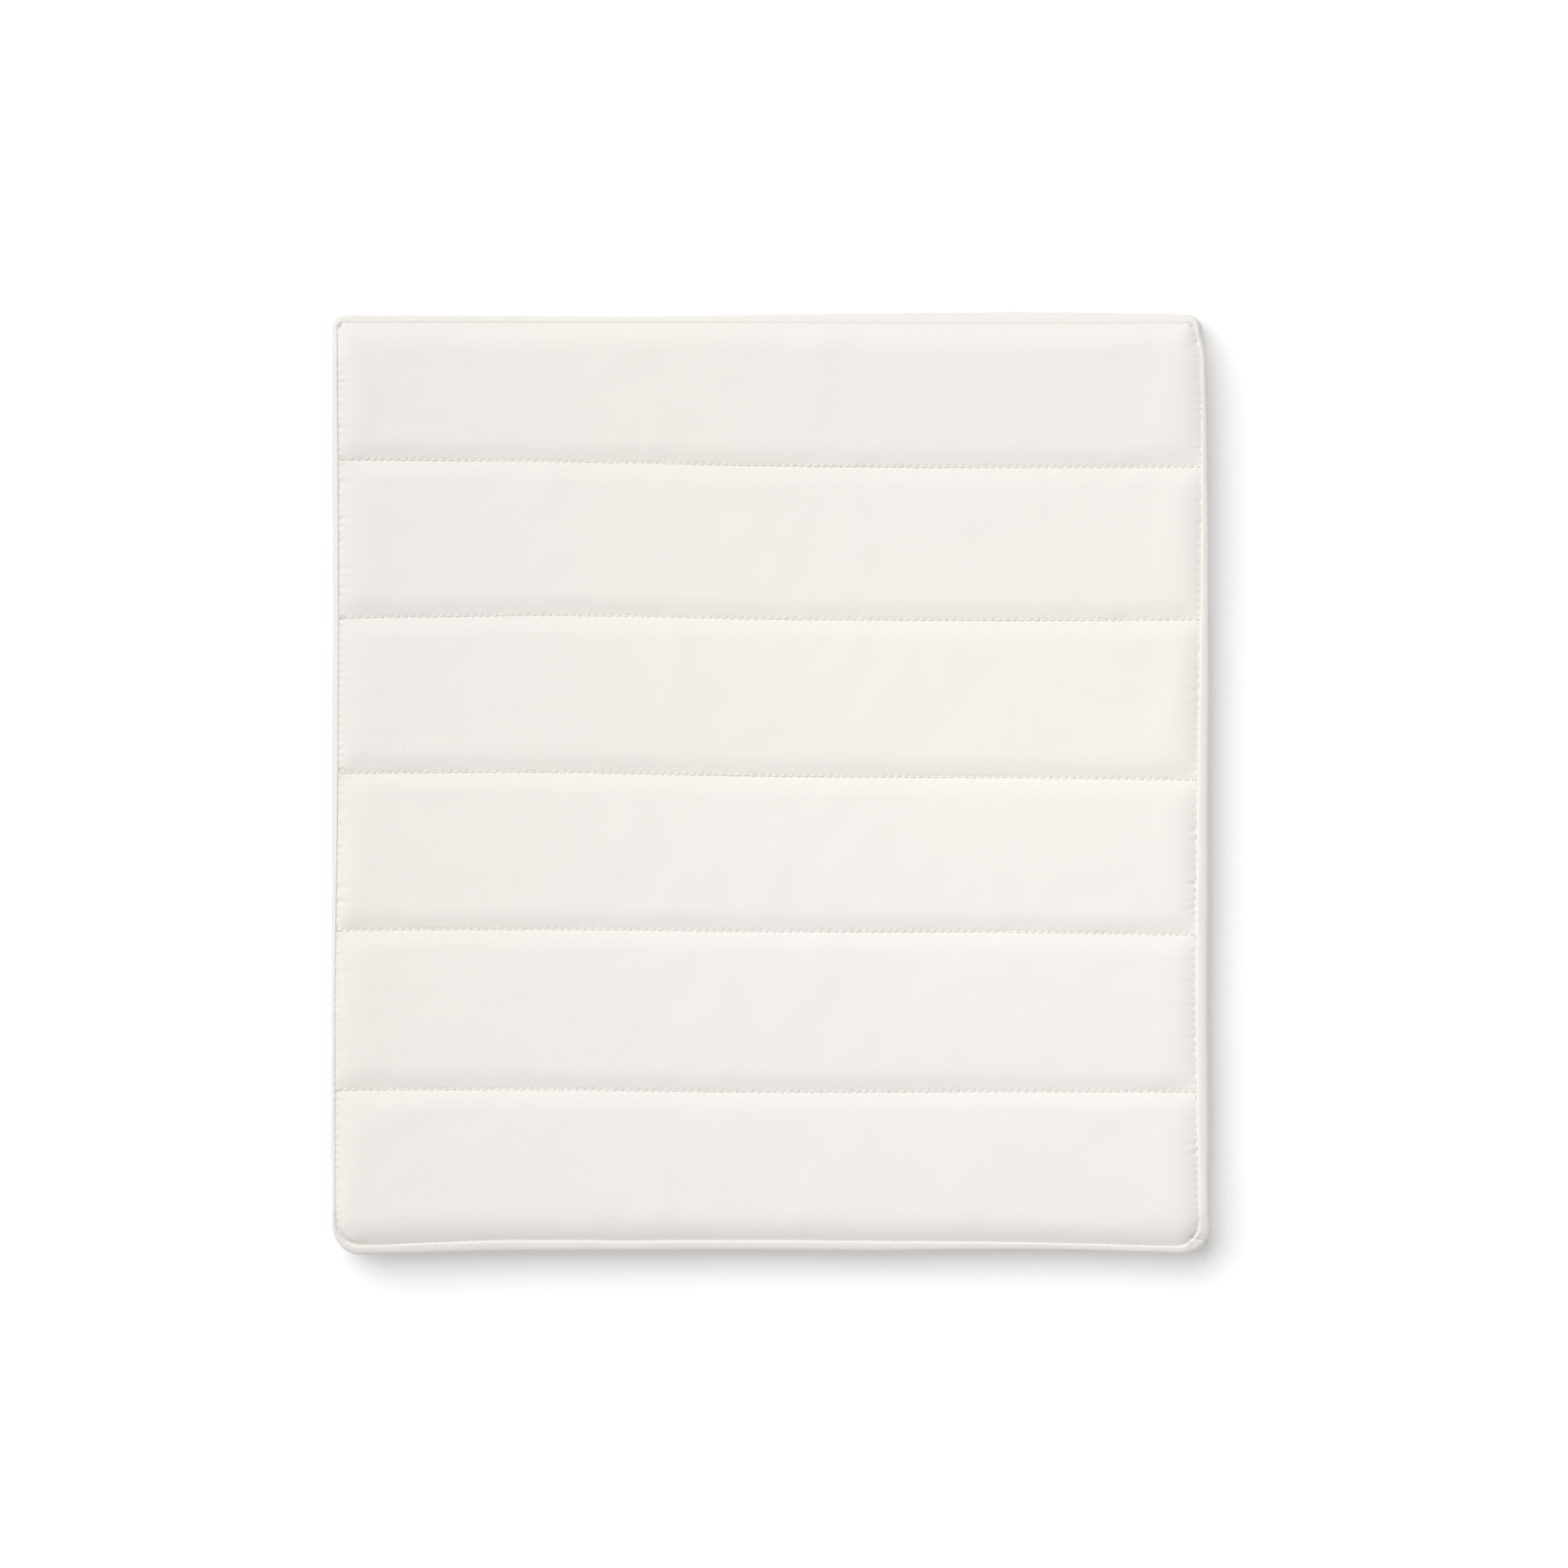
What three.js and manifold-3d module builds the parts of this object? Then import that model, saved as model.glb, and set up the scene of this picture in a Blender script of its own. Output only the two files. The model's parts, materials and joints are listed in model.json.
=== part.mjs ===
// A quilted chair seat pad: a zipped cover over a foam core, with a channel-quilted top face.
// Millimetres. +X is the sitter's right, +Y is the back edge, which holds the zip, and +Z is up.
// The origin is the middle of the underside.

import * as THREE from 'three';
import { mergeVertices } from 'three/addons/utils/BufferGeometryUtils.js';
import Module from 'manifold-3d';

const wasm = await Module();
wasm.setup();

// ---- Driving dimensions ----

const CLEARANCE = 0.3; // between pieces that lie against each other
const FABRIC = 0.9; // cover cloth, with its nap
const THREAD = 0.4;

// The seam line between the faces and the side band, seen from above.
const SEAM = { halfWidth: 197.5, halfDepth: 211, frontRadius: 10.5, backRadius: 6 };

// How far the stuffed side band swells past the seam line.
const BULGE = { sides: 3.5, ends: 5 };

const BAND_JOIN = 330; // the direction of the band's join on the front right corner, in degrees
const BAND_BOTTOM = FABRIC + CLEARANCE;
const BAND_TOP = 24.8;
const BAND_MIDDLE = (BAND_BOTTOM + BAND_TOP) / 2;

// Quilting: each row of stitches runs from the left edge to the right edge, a little askew.
const QUILT_ROWS = [
  { left: 148.6, right: 145.4 },
  { left: 77.0, right: 75.2 },
  { left: 5.4, right: 2.4 },
  { left: -66.4, right: -68.8 },
  { left: -139.9, right: -140.8 },
];
const QUILT = { crown: 5, rowRoll: 22, edgeRoll: 18, backing: 0.7, inset: 2 };

const FOAM = { inset: 2, swell: 0.8, height: 21.4 };

// The zip in the back band, and the slot that its plackets leave open. A piece's out is how far
// its two faces stand out from the seam line, and its heights are above or below the zip's middle.
const ZIP = { halfLength: 161, slotHalfHeight: 3.75, lipDepth: 4.2 };
const TAPE = { halfLength: 159, out: [-0.6, -0.1], heights: [0.9, 9] };
const COIL = { halfLength: 155.5, out: [0.2, 1.4], heights: [0.8, 2.2] };
const TACK = { x: 157.3, radius: 0.5, length: 3.8 };

const SLIDER = {
  x: 149, // closed, at the right-hand end
  halfLength: 5,
  noseHalfWidth: 3.3,
  tailHalfWidth: 2.7,
  topWing: [1.7, 2.5], // how far its two faces stand out from the seam line
  bottomWing: [-1.7, -0.9],
  flange: [2.5, 3.3],
  postHalfWidth: 0.5,
  bridgeHalfLength: 2.8,
  bridgeHalfWidth: 0.9,
  archHalfLength: 1.7,
  archTop: 4.0,
  bridgeTop: 4.8,
};
const PULL = {
  pivot: 3.25, // from the seam line out to the bar that it turns on
  barRadius: 0.5,
  length: 22,
  halfWidth: 2.7,
  thickness: 0.9,
  windowLength: 3.6,
  windowHalfWidth: 1.3,
};

const CORNER_STEP = 15; // degrees
const BAND_LEVELS = [0, 0.06, 0.18, 0.34, 0.5, 0.66, 0.82, 0.94, 1];

// ---- Materials ----

const finish = (color, roughness, metalness = 0) =>
  new THREE.MeshStandardMaterial({ color, roughness, metalness });

const coverFabric = finish(0xf0ece5, 0.9);
const wadding = finish(0xf6f6f3, 1);
const backingCloth = finish(0xeeeeea, 0.95);
const thread = finish(0xe9e3da, 0.7);
const zipTape = finish(0xeae5dc, 0.9);
const nylon = finish(0xe6e1d8, 0.45);
const nickel = finish(0xb9b9b5, 0.35, 1);
const foam = finish(0xf3edd2, 0.95);

const pad = new THREE.Group();

function addPiece(name, geometry, material) {
  const mesh = new THREE.Mesh(geometry, material);
  mesh.name = name;
  pad.add(mesh);
  return mesh;
}

// ---- Geometry helpers ----

// A closed surface from triangles, turned so that its faces point out.
function closedSurface(points, triangles) {
  const volume = triangles.reduce((sum, [a, b, c]) => {
    const normal = new THREE.Vector3().crossVectors(points[b], points[c]);
    return sum + points[a].dot(normal);
  }, 0);
  const outward = volume > 0 ? triangles : triangles.map(([a, b, c]) => [a, c, b]);
  const geometry = new THREE.BufferGeometry().setFromPoints(points);
  geometry.setIndex(outward.flat());
  geometry.computeVertexNormals();
  return geometry;
}

// A sheet with thickness. front and back are matching rows of points; a wrapped sheet joins
// its last row to its first, and an open one is closed by its two end walls.
function thickSheet(front, back, wrapped = false) {
  const rowCount = front.length;
  const columnCount = front[0].length;
  const points = [...front.flat(), ...back.flat()];
  const onFront = (row, column) => (row % rowCount) * columnCount + column;
  const onBack = (row, column) => rowCount * columnCount + onFront(row, column);
  const triangles = [];
  const quad = (a, b, c, d) => triangles.push([a, b, c], [a, c, d]);

  const rowSpans = wrapped ? rowCount : rowCount - 1;
  const lastColumn = columnCount - 1;
  for (let row = 0; row < rowSpans; row += 1) {
    for (let column = 0; column < lastColumn; column += 1) {
      const next = column + 1;
      quad(onFront(row, column), onFront(row + 1, column), onFront(row + 1, next), onFront(row, next));
      quad(onBack(row, column), onBack(row, next), onBack(row + 1, next), onBack(row + 1, column));
    }
    quad(onFront(row, 0), onBack(row, 0), onBack(row + 1, 0), onFront(row + 1, 0));
    const last = lastColumn;
    quad(onFront(row, last), onFront(row + 1, last), onBack(row + 1, last), onBack(row, last));
  }
  if (!wrapped) {
    const lastRow = rowCount - 1;
    for (let column = 0; column < lastColumn; column += 1) {
      const next = column + 1;
      quad(onFront(0, column), onFront(0, next), onBack(0, next), onBack(0, column));
      quad(onFront(lastRow, column), onBack(lastRow, column), onBack(lastRow, next), onFront(lastRow, next));
    }
  }
  return closedSurface(points, triangles);
}

// A solid from rings of points stacked one above the other, with flat ends.
function stackedSolid(rings) {
  const count = rings[0].length;
  const points = rings.flat();
  const triangles = [];
  for (let level = 0; level < rings.length - 1; level += 1) {
    for (let i = 0; i < count; i += 1) {
      const a = level * count + i;
      const b = level * count + ((i + 1) % count);
      triangles.push([a, b, b + count], [a, b + count, a + count]);
    }
  }
  const addEnd = (level, towardsUp) => {
    const centre = points.push(new THREE.Vector3(0, 0, rings[level][0].z)) - 1;
    for (let i = 0; i < count; i += 1) {
      const a = level * count + i;
      const b = level * count + ((i + 1) % count);
      triangles.push(towardsUp ? [a, b, centre] : [b, a, centre]);
    }
  };
  addEnd(0, false);
  addEnd(rings.length - 1, true);
  return closedSurface(points, triangles);
}

// A box given by its limits on each axis.
function boxBetween([x0, x1], [y0, y1], [z0, z1]) {
  const geometry = new THREE.BoxGeometry(x1 - x0, y1 - y0, z1 - z0);
  return geometry.translate((x0 + x1) / 2, (y0 + y1) / 2, (z0 + z1) / 2);
}

function toSolid(geometry) {
  const bare = geometry.clone();
  bare.deleteAttribute('normal');
  bare.deleteAttribute('uv');
  const merged = mergeVertices(bare, 1e-3);
  return new wasm.Manifold(
    new wasm.Mesh({
      numProp: 3,
      vertProperties: merged.attributes.position.array,
      triVerts: new Uint32Array(merged.index.array),
    }),
  );
}

function toGeometry(solid) {
  const mesh = solid.getMesh();
  const geometry = new THREE.BufferGeometry();
  geometry.setAttribute('position', new THREE.BufferAttribute(mesh.vertProperties, 3));
  geometry.setIndex(new THREE.BufferAttribute(mesh.triVerts, 1));
  geometry.computeVertexNormals();
  return geometry;
}

// ---- The seam line ----

// A station is a point of the seam line with the direction that points out of the pad there.
function station(x, y, nx, ny) {
  return { x, y, nx, ny, bulge: BULGE.sides * nx ** 2 + BULGE.ends * ny ** 2 };
}

// The stations round a corner, or round part of one, between two directions in degrees.
function cornerStations(sideX, sideY, from, to) {
  const radius = sideY > 0 ? SEAM.backRadius : SEAM.frontRadius;
  const centreX = sideX * (SEAM.halfWidth - radius);
  const centreY = sideY * (SEAM.halfDepth - radius);
  const steps = Math.ceil((to - from) / CORNER_STEP);
  return Array.from({ length: steps + 1 }, (_, step) => {
    const angle = THREE.MathUtils.degToRad(THREE.MathUtils.lerp(from, to, step / steps));
    const nx = Math.cos(angle);
    const ny = Math.sin(angle);
    return station(centreX + radius * nx, centreY + radius * ny, nx, ny);
  });
}

const backLeft = cornerStations(-1, 1, 90, 180);
const frontLeft = cornerStations(-1, -1, 180, 270);
const frontRight = cornerStations(1, -1, 270, 360);
const backRight = cornerStations(1, 1, 0, 90);
const wholeSeam = [...backLeft, ...frontLeft, ...frontRight, ...backRight];

// A point that lies out from the seam line, at a height.
const outFrom = (place, out, z) =>
  new THREE.Vector3(place.x + out * place.nx, place.y + out * place.ny, z);

// The swell of the band at a share of its height, 0 at both seams and 1 in the middle.
const bandSwell = (share) => 1 - Math.abs(2 * share - 1) ** 2.6;

// ---- Quilted top ----

// A padded roll rises steeply from its seam and flattens over its width.
const roll = (distance, width) => 1 - (1 - Math.min(distance / width, 1)) ** 2.2;

// Half the width of a face at a place along its depth, less where its corners are round.
function halfWidthAt(y) {
  const radius = y > 0 ? SEAM.backRadius : SEAM.frontRadius;
  const intoCorner = Math.max(0, Math.abs(y) - (SEAM.halfDepth - radius));
  return SEAM.halfWidth - radius + Math.sqrt(Math.max(0, radius ** 2 - intoCorner ** 2));
}

// The lines of the quilted surface that run across the pad, back to front. Each has its ends
// and how far it has risen from the nearest row of stitches.
function quiltLines() {
  const back = { left: SEAM.halfDepth, right: SEAM.halfDepth, edge: true };
  const front = { left: -SEAM.halfDepth, right: -SEAM.halfDepth, edge: true };
  const seams = [back, ...QUILT_ROWS, front];
  const lines = [];
  const addLine = (from, distance) => {
    const rise = roll(Math.abs(distance), QUILT.rowRoll);
    lines.push({ left: from.left + distance, right: from.right + distance, rise });
  };
  for (let i = 0; i < seams.length - 1; i += 1) {
    const upper = seams[i];
    const lower = seams[i + 1];
    const fromUpper = upper.edge ? [0, 1.2, 4, 11, 22] : [0, 4, 11, 22];
    const fromLower = lower.edge ? [22, 11, 4, 1.2] : [22, 11, 4];
    fromUpper.forEach((distance) => addLine(upper, -distance));
    fromLower.forEach((distance) => addLine(lower, distance));
  }
  lines.push({ left: front.left, right: front.right, rise: 0 });
  return lines;
}

// One surface of the quilted layers: drawn in from the seam by inset, and as high as base at
// the seams. The layers share their lines, so that they nest without touching.
function quiltSurface(inset, base) {
  const fromEdge = [0, 1.5, 5, 11, QUILT.edgeRoll];
  const acrossMiddle = [0.5, 0];
  return quiltLines().map((line) => {
    const middleY = (line.left + line.right) / 2;
    const half = halfWidthAt(middleY) - inset;
    const flat = half - QUILT.edgeRoll;
    const outer = fromEdge.map((d) => ({ x: half - d, rise: roll(d, QUILT.edgeRoll) }));
    const inner = acrossMiddle.map((share) => ({ x: flat * share, rise: 1 }));
    const rightSide = [...outer, ...inner];
    const leftSide = rightSide.slice(0, -1).map(({ x, rise }) => ({ x: -x, rise }));
    return [...leftSide, ...rightSide.reverse()].map(({ x, rise }) => {
      const alongRow = (x + half) / (2 * half);
      const y = THREE.MathUtils.lerp(line.left, line.right, alongRow);
      const ends = SEAM.halfDepth - QUILT.edgeRoll;
      const pulledIn = Math.max(0, Math.abs(y) - ends) * (inset / QUILT.edgeRoll);
      return new THREE.Vector3(x, y - Math.sign(y) * pulledIn, base + QUILT.crown * line.rise * rise);
    });
  });
}

const backingBottom = BAND_BOTTOM + FOAM.height + CLEARANCE;
const waddingBottom = backingBottom + QUILT.backing + CLEARANCE;
const waddingTop = BAND_TOP;
const faceBottom = BAND_TOP + CLEARANCE;
const faceTop = faceBottom + FABRIC;

const levelled = (rows, z) => rows.map((row) => row.map((p) => new THREE.Vector3(p.x, p.y, z)));

addPiece('top_face_fabric', thickSheet(quiltSurface(0, faceTop), quiltSurface(0, faceBottom)), coverFabric);

const waddingSurface = quiltSurface(QUILT.inset, waddingTop);
addPiece('quilt_wadding', thickSheet(waddingSurface, levelled(waddingSurface, waddingBottom)), wadding);

const seamRing = (inset, z) => wholeSeam.map((place) => outFrom(place, -inset, z));
const flatPanel = (inset, bottom, top) => stackedSolid([seamRing(inset, bottom), seamRing(inset, top)]);

addPiece('quilt_backing', flatPanel(QUILT.inset, backingBottom, backingBottom + QUILT.backing), backingCloth);

// A row of quilting thread, lying in the valley that it pulls down.
function stitchRow({ left, right }) {
  const reach = SEAM.halfWidth - 1.5;
  const bottom = faceTop + CLEARANCE;
  const bar = (z) =>
    [{ x: -reach, y: left }, { x: reach, y: right }].map(({ x, y }) => [
      new THREE.Vector3(x, y - THREAD / 2, z),
      new THREE.Vector3(x, y + THREAD / 2, z),
    ]);
  return thickSheet(bar(bottom + THREAD), bar(bottom));
}

QUILT_ROWS.forEach((row, i) => addPiece(`channel_stitch_row_${i + 1}`, stitchRow(row), thread));

// ---- Seams round the two faces ----

function seamThread(bottom) {
  const ring = (out) =>
    wholeSeam.map((place) => [outFrom(place, out, bottom), outFrom(place, out, bottom + THREAD)]);
  return thickSheet(ring(CLEARANCE + THREAD), ring(CLEARANCE), true);
}

addPiece('top_seam_stitch', seamThread(faceBottom), thread);
addPiece('bottom_seam_stitch', seamThread((FABRIC - THREAD) / 2), thread);
addPiece('bottom_panel', flatPanel(0, 0, FABRIC), coverFabric);

// ---- Side band, in two lengths that leave the zip's place open ----

function bandStrip(places) {
  const skin = (inset) =>
    places.map((place) =>
      BAND_LEVELS.map((share) => {
        const z = THREE.MathUtils.lerp(BAND_BOTTOM, BAND_TOP, share);
        return outFrom(place, place.bulge * bandSwell(share) - inset, z);
      }),
    );
  return thickSheet(skin(0), skin(FABRIC));
}

// The two lengths meet on the front right corner.
const backStation = (x) => station(x, SEAM.halfDepth, 0, 1);
const joinGap = THREE.MathUtils.radToDeg(CLEARANCE / SEAM.frontRadius);
const joinFront = cornerStations(1, -1, 270, BAND_JOIN);
const joinSide = cornerStations(1, -1, BAND_JOIN + joinGap, 360);
const longWay = [backStation(-ZIP.halfLength), ...backLeft, ...frontLeft, ...joinFront];
const shortWay = [...joinSide, ...backRight, backStation(ZIP.halfLength)];

addPiece('boxing_long_strip', bandStrip(longWay), coverFabric);
addPiece('boxing_short_strip', bandStrip(shortWay), coverFabric);

// ---- Foam core ----

// The foam swells with the band at the sides and the front; its back is flat behind the zip.
function foamRing(share) {
  const z = THREE.MathUtils.lerp(BAND_BOTTOM, BAND_BOTTOM + FOAM.height, share);
  return wholeSeam.map((place) => {
    const awayFromZip = 1 - Math.max(0, place.ny) ** 2;
    const swell = FOAM.swell * place.bulge * bandSwell(share) * awayFromZip;
    return outFrom(place, swell - FOAM.inset, z);
  });
}

addPiece('foam_core', stackedSolid(BAND_LEVELS.map(foamRing)), foam);

// ---- Zip ----

// The zip's pieces are laid out by how far they stand out from the seam line, and by their
// height above or below the middle of the zip.
const zipPoint = (x, out, height) => new THREE.Vector3(x, SEAM.halfDepth + out, BAND_MIDDLE + height);

// A placket rolls out from the seam and back in to the edge of the slot.
function placketRoll(towards) {
  const halfHeight = BAND_TOP - BAND_MIDDLE;
  const rise = (halfHeight - ZIP.slotHalfHeight) / 2;
  const middle = { out: BULGE.ends - ZIP.lipDepth, height: halfHeight - rise };
  const arc = Array.from({ length: 9 }, (_, step) => {
    const angle = THREE.MathUtils.degToRad(70 - 20 * step);
    const out = middle.out + ZIP.lipDepth * Math.cos(angle);
    return new THREE.Vector2(out, towards * (middle.height + rise * Math.sin(angle)));
  });
  return [new THREE.Vector2(0, towards * halfHeight), ...arc];
}

// Moves a path sideways, to the side that its left normal times side points to.
function besidePath(path, distance) {
  return path.map((point, i) => {
    const before = path[Math.max(0, i - 1)];
    const after = path[Math.min(path.length - 1, i + 1)];
    const along = after.clone().sub(before).normalize();
    return new THREE.Vector2(point.x - along.y * distance, point.y + along.x * distance);
  });
}

const placketHalfLength = ZIP.halfLength - CLEARANCE;
const sweepAlongZip = (path, halfLength) =>
  [-halfLength, halfLength].map((x) => path.map((p) => zipPoint(x, p.x, p.y)));

function placket(towards) {
  const outer = placketRoll(towards);
  const inner = besidePath(outer, -FABRIC * towards);
  return thickSheet(sweepAlongZip(outer, placketHalfLength), sweepAlongZip(inner, placketHalfLength));
}

// The thread that sews a placket to its tape, lying on the placket beside the slot.
function placketThread(towards) {
  const outer = placketRoll(towards);
  const near = besidePath(outer, CLEARANCE * towards).slice(-3, -1);
  const far = besidePath(outer, (CLEARANCE + THREAD) * towards).slice(-3, -1);
  return thickSheet(sweepAlongZip(far, placketHalfLength), sweepAlongZip(near, placketHalfLength));
}

// A straight strip along the zip, from its near height to its far height on one side.
function zipStrip(towards, halfLength, [nearOut, farOut], [near, far]) {
  const heights = [BAND_MIDDLE + towards * near, BAND_MIDDLE + towards * far].sort((a, b) => a - b);
  return boxBetween([-halfLength, halfLength], [SEAM.halfDepth + nearOut, SEAM.halfDepth + farOut], heights);
}

const SIDES = { upper: 1, lower: -1 };
for (const [side, towards] of Object.entries(SIDES)) {
  addPiece(`placket_${side}`, placket(towards), coverFabric);
  addPiece(`placket_stitch_${side}`, placketThread(towards), thread);
  const tape = zipStrip(towards, TAPE.halfLength, TAPE.out, TAPE.heights);
  addPiece(`zip_tape_${side}`, tape, zipTape);
  const coil = zipStrip(towards, COIL.halfLength, COIL.out, COIL.heights);
  addPiece(`zip_coil_${side}`, coil, nylon);
}

// A bar tack closes the slot at each end of the coils.
const tackGeometry = new THREE.CapsuleGeometry(TACK.radius, TACK.length, 3, 8).rotateX(Math.PI / 2);
for (const [end, side] of Object.entries({ left: -1, right: 1 })) {
  const tack = addPiece(`zip_end_tack_${end}`, tackGeometry, thread);
  tack.position.copy(zipPoint(side * TACK.x, COIL.out[0] + TACK.radius, 0));
}

// ---- Slider and pull tab ----

// The slider's own frame: x along the zip with its nose at +x, y out of the pad, z up.
function sliderWing([bottom, top]) {
  const { halfLength, noseHalfWidth, tailHalfWidth } = SLIDER;
  const shoulder = halfLength * 0.4;
  const outline = new THREE.Shape();
  outline.moveTo(-halfLength, -tailHalfWidth);
  outline.lineTo(shoulder, -noseHalfWidth);
  outline.quadraticCurveTo(halfLength, -noseHalfWidth, halfLength, 0);
  outline.quadraticCurveTo(halfLength, noseHalfWidth, shoulder, noseHalfWidth);
  outline.lineTo(-halfLength, tailHalfWidth);
  outline.closePath();
  const depth = top - bottom;
  const wing = new THREE.ExtrudeGeometry(outline, { depth, bevelEnabled: false, curveSegments: 5 });
  return wing.rotateX(-Math.PI / 2).translate(0, bottom, 0);
}

function sliderBody() {
  const { topWing, bottomWing, flange, postHalfWidth, halfLength } = SLIDER;
  const { bridgeHalfLength, bridgeHalfWidth, archHalfLength, archTop, bridgeTop } = SLIDER;
  const post = boxBetween(
    [halfLength * 0.4, halfLength * 0.8],
    [bottomWing[0] + 0.1, topWing[1] - 0.1],
    [-postHalfWidth, postHalfWidth],
  );
  const bridge = boxBetween(
    [-bridgeHalfLength, bridgeHalfLength],
    [topWing[1] - 0.2, bridgeTop],
    [-bridgeHalfWidth, bridgeHalfWidth],
  );
  const arch = boxBetween(
    [-archHalfLength, archHalfLength],
    [topWing[1], archTop],
    [-2 * bridgeHalfWidth, 2 * bridgeHalfWidth],
  );
  const flangeAt = (side) => {
    const heights = [side * flange[0], side * flange[1]].sort((a, b) => a - b);
    return boxBetween([-halfLength * 0.4, halfLength * 0.4], [COIL.out[0], topWing[1] - 0.1], heights);
  };
  const body = [flangeAt(1), flangeAt(-1), post, bridge].reduce(
    (solid, geometry) => solid.add(toSolid(geometry)),
    toSolid(sliderWing(topWing)).add(toSolid(sliderWing(bottomWing))),
  );
  return toGeometry(body.subtract(toSolid(arch)));
}

const slider = addPiece('zip_slider', sliderBody(), nickel);
slider.position.copy(zipPoint(SLIDER.x, 0, 0));

// The tab lies flat along the closed zip, from its bar in the slider's arch towards -x.
function pullTab() {
  const { barRadius, length, halfWidth, thickness, windowLength, windowHalfWidth } = PULL;
  const end = thickness / 2; // short enough past the bar to turn clear of the slider
  const outline = new THREE.Shape();
  outline.moveTo(end, -halfWidth);
  outline.lineTo(end, halfWidth);
  outline.lineTo(-length + halfWidth, halfWidth);
  outline.absarc(-length + halfWidth, 0, halfWidth, Math.PI / 2, Math.PI * 1.5, false);
  outline.closePath();
  const flat = { depth: thickness, bevelEnabled: false, curveSegments: 8 };
  const plate = new THREE.ExtrudeGeometry(outline, flat);
  plate.rotateX(-Math.PI / 2).translate(0, -thickness / 2, 0);
  const window = boxBetween(
    [-windowLength, end + 1],
    [-thickness, thickness],
    [-windowHalfWidth, windowHalfWidth],
  );
  const barLength = 2 * windowHalfWidth + 1;
  const bar = new THREE.CylinderGeometry(barRadius, barRadius, barLength, 12).rotateX(Math.PI / 2);
  return toGeometry(toSolid(plate).subtract(toSolid(window)).add(toSolid(bar)));
}

const tab = addPiece('pull_tab', pullTab(), nickel);
tab.position.copy(zipPoint(SLIDER.x, PULL.pivot, 0));

export default pad;
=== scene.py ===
"""A quilted chair seat pad: a cloth cover with a channel-quilted top, a foam core and a zip at the back.

Shapes are worked out in millimetres, in the frame's own axes: +X to the right, +Y to the back edge
with the zip, +Z up. Meshes are made in metres.
"""

import json
import math

import bmesh
import bpy
import numpy as np
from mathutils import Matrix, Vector, kdtree


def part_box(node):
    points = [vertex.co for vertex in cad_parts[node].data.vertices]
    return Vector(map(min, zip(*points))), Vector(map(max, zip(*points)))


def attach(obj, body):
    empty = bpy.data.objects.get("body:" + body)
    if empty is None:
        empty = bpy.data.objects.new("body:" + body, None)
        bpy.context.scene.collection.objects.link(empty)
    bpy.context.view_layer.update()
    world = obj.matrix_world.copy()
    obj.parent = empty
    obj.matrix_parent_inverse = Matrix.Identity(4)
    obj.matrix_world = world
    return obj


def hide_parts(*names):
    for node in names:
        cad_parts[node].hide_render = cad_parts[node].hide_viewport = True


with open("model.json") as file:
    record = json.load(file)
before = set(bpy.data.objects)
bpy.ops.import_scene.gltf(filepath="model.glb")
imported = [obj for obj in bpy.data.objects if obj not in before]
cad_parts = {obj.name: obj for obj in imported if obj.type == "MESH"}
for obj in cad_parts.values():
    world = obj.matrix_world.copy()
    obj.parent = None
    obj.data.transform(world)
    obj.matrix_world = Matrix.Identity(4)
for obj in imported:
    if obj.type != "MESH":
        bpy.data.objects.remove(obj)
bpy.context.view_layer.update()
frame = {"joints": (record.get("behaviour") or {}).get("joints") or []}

MM = 0.001
FAR = 99.0  # past everything nearby
UP = np.array([0.0, 0.0, 1.0])


def box_mm(node):
    low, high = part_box(node)
    return np.array(low) / MM, np.array(high) / MM


def joint(name):
    return next(joint for joint in frame["joints"] if joint["name"] == name)


def unit(vectors):
    return vectors / np.linalg.norm(vectors, axis=-1, keepdims=True)


def put(thing, **values):
    """Sets several of a thing's attributes, and returns it."""
    for name, value in values.items():
        setattr(thing, name, value)
    return thing


# ---- Sizes ----

face_low, face_high = box_mm("top_face_fabric")
SEAM_X, SEAM_Y = face_high[:2]  # the seam lines, before they stray
SEAM_Z = face_low[2] + 0.4
BOTTOM_SEAM_Z = 1.0
BAND_HEIGHT = SEAM_Z - BOTTOM_SEAM_Z
CLOTH = 0.9
CHANNEL_COUNT = 6
FRONT_RADIUS = 10.5
BACK_RADIUS = 2.6

ROW_Z = face_high[2] - 3.3  # the cloth at a quilting row
ROW_RISE = 1.9
PILLOW_RISE = 0.7
ROW_SLOPE = (3.6, 10.5)  # how far from its row a channel rises evenly, and stops rising
RIM_SLOPE = (1.2, 15.0)  # the same from the seam along the back and front edges
SIDE_RIM_SLOPE = (1.2, 11.0)  # and from the seam along the sides, which lies higher
SIDE_LIFT = 3.0

coil_low, coil_high = box_mm("zip_coil_upper")
lower_coil_low, _ = box_mm("zip_coil_lower")
ZIP_Z = (coil_high[2] + lower_coil_low[2]) / 2
COIL_REACH = coil_high[0]
placket_low, placket_high = box_mm("placket_upper")
ZIP_REACH = placket_high[0]
SLOT_HALF = placket_low[2] - ZIP_Z
slider_low, slider_high = box_mm("zip_slider")
SLIDER_X = (slider_low[0] + slider_high[0]) / 2

STITCH_PITCH = 3.5
STITCHES_ACROSS = 113

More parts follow.
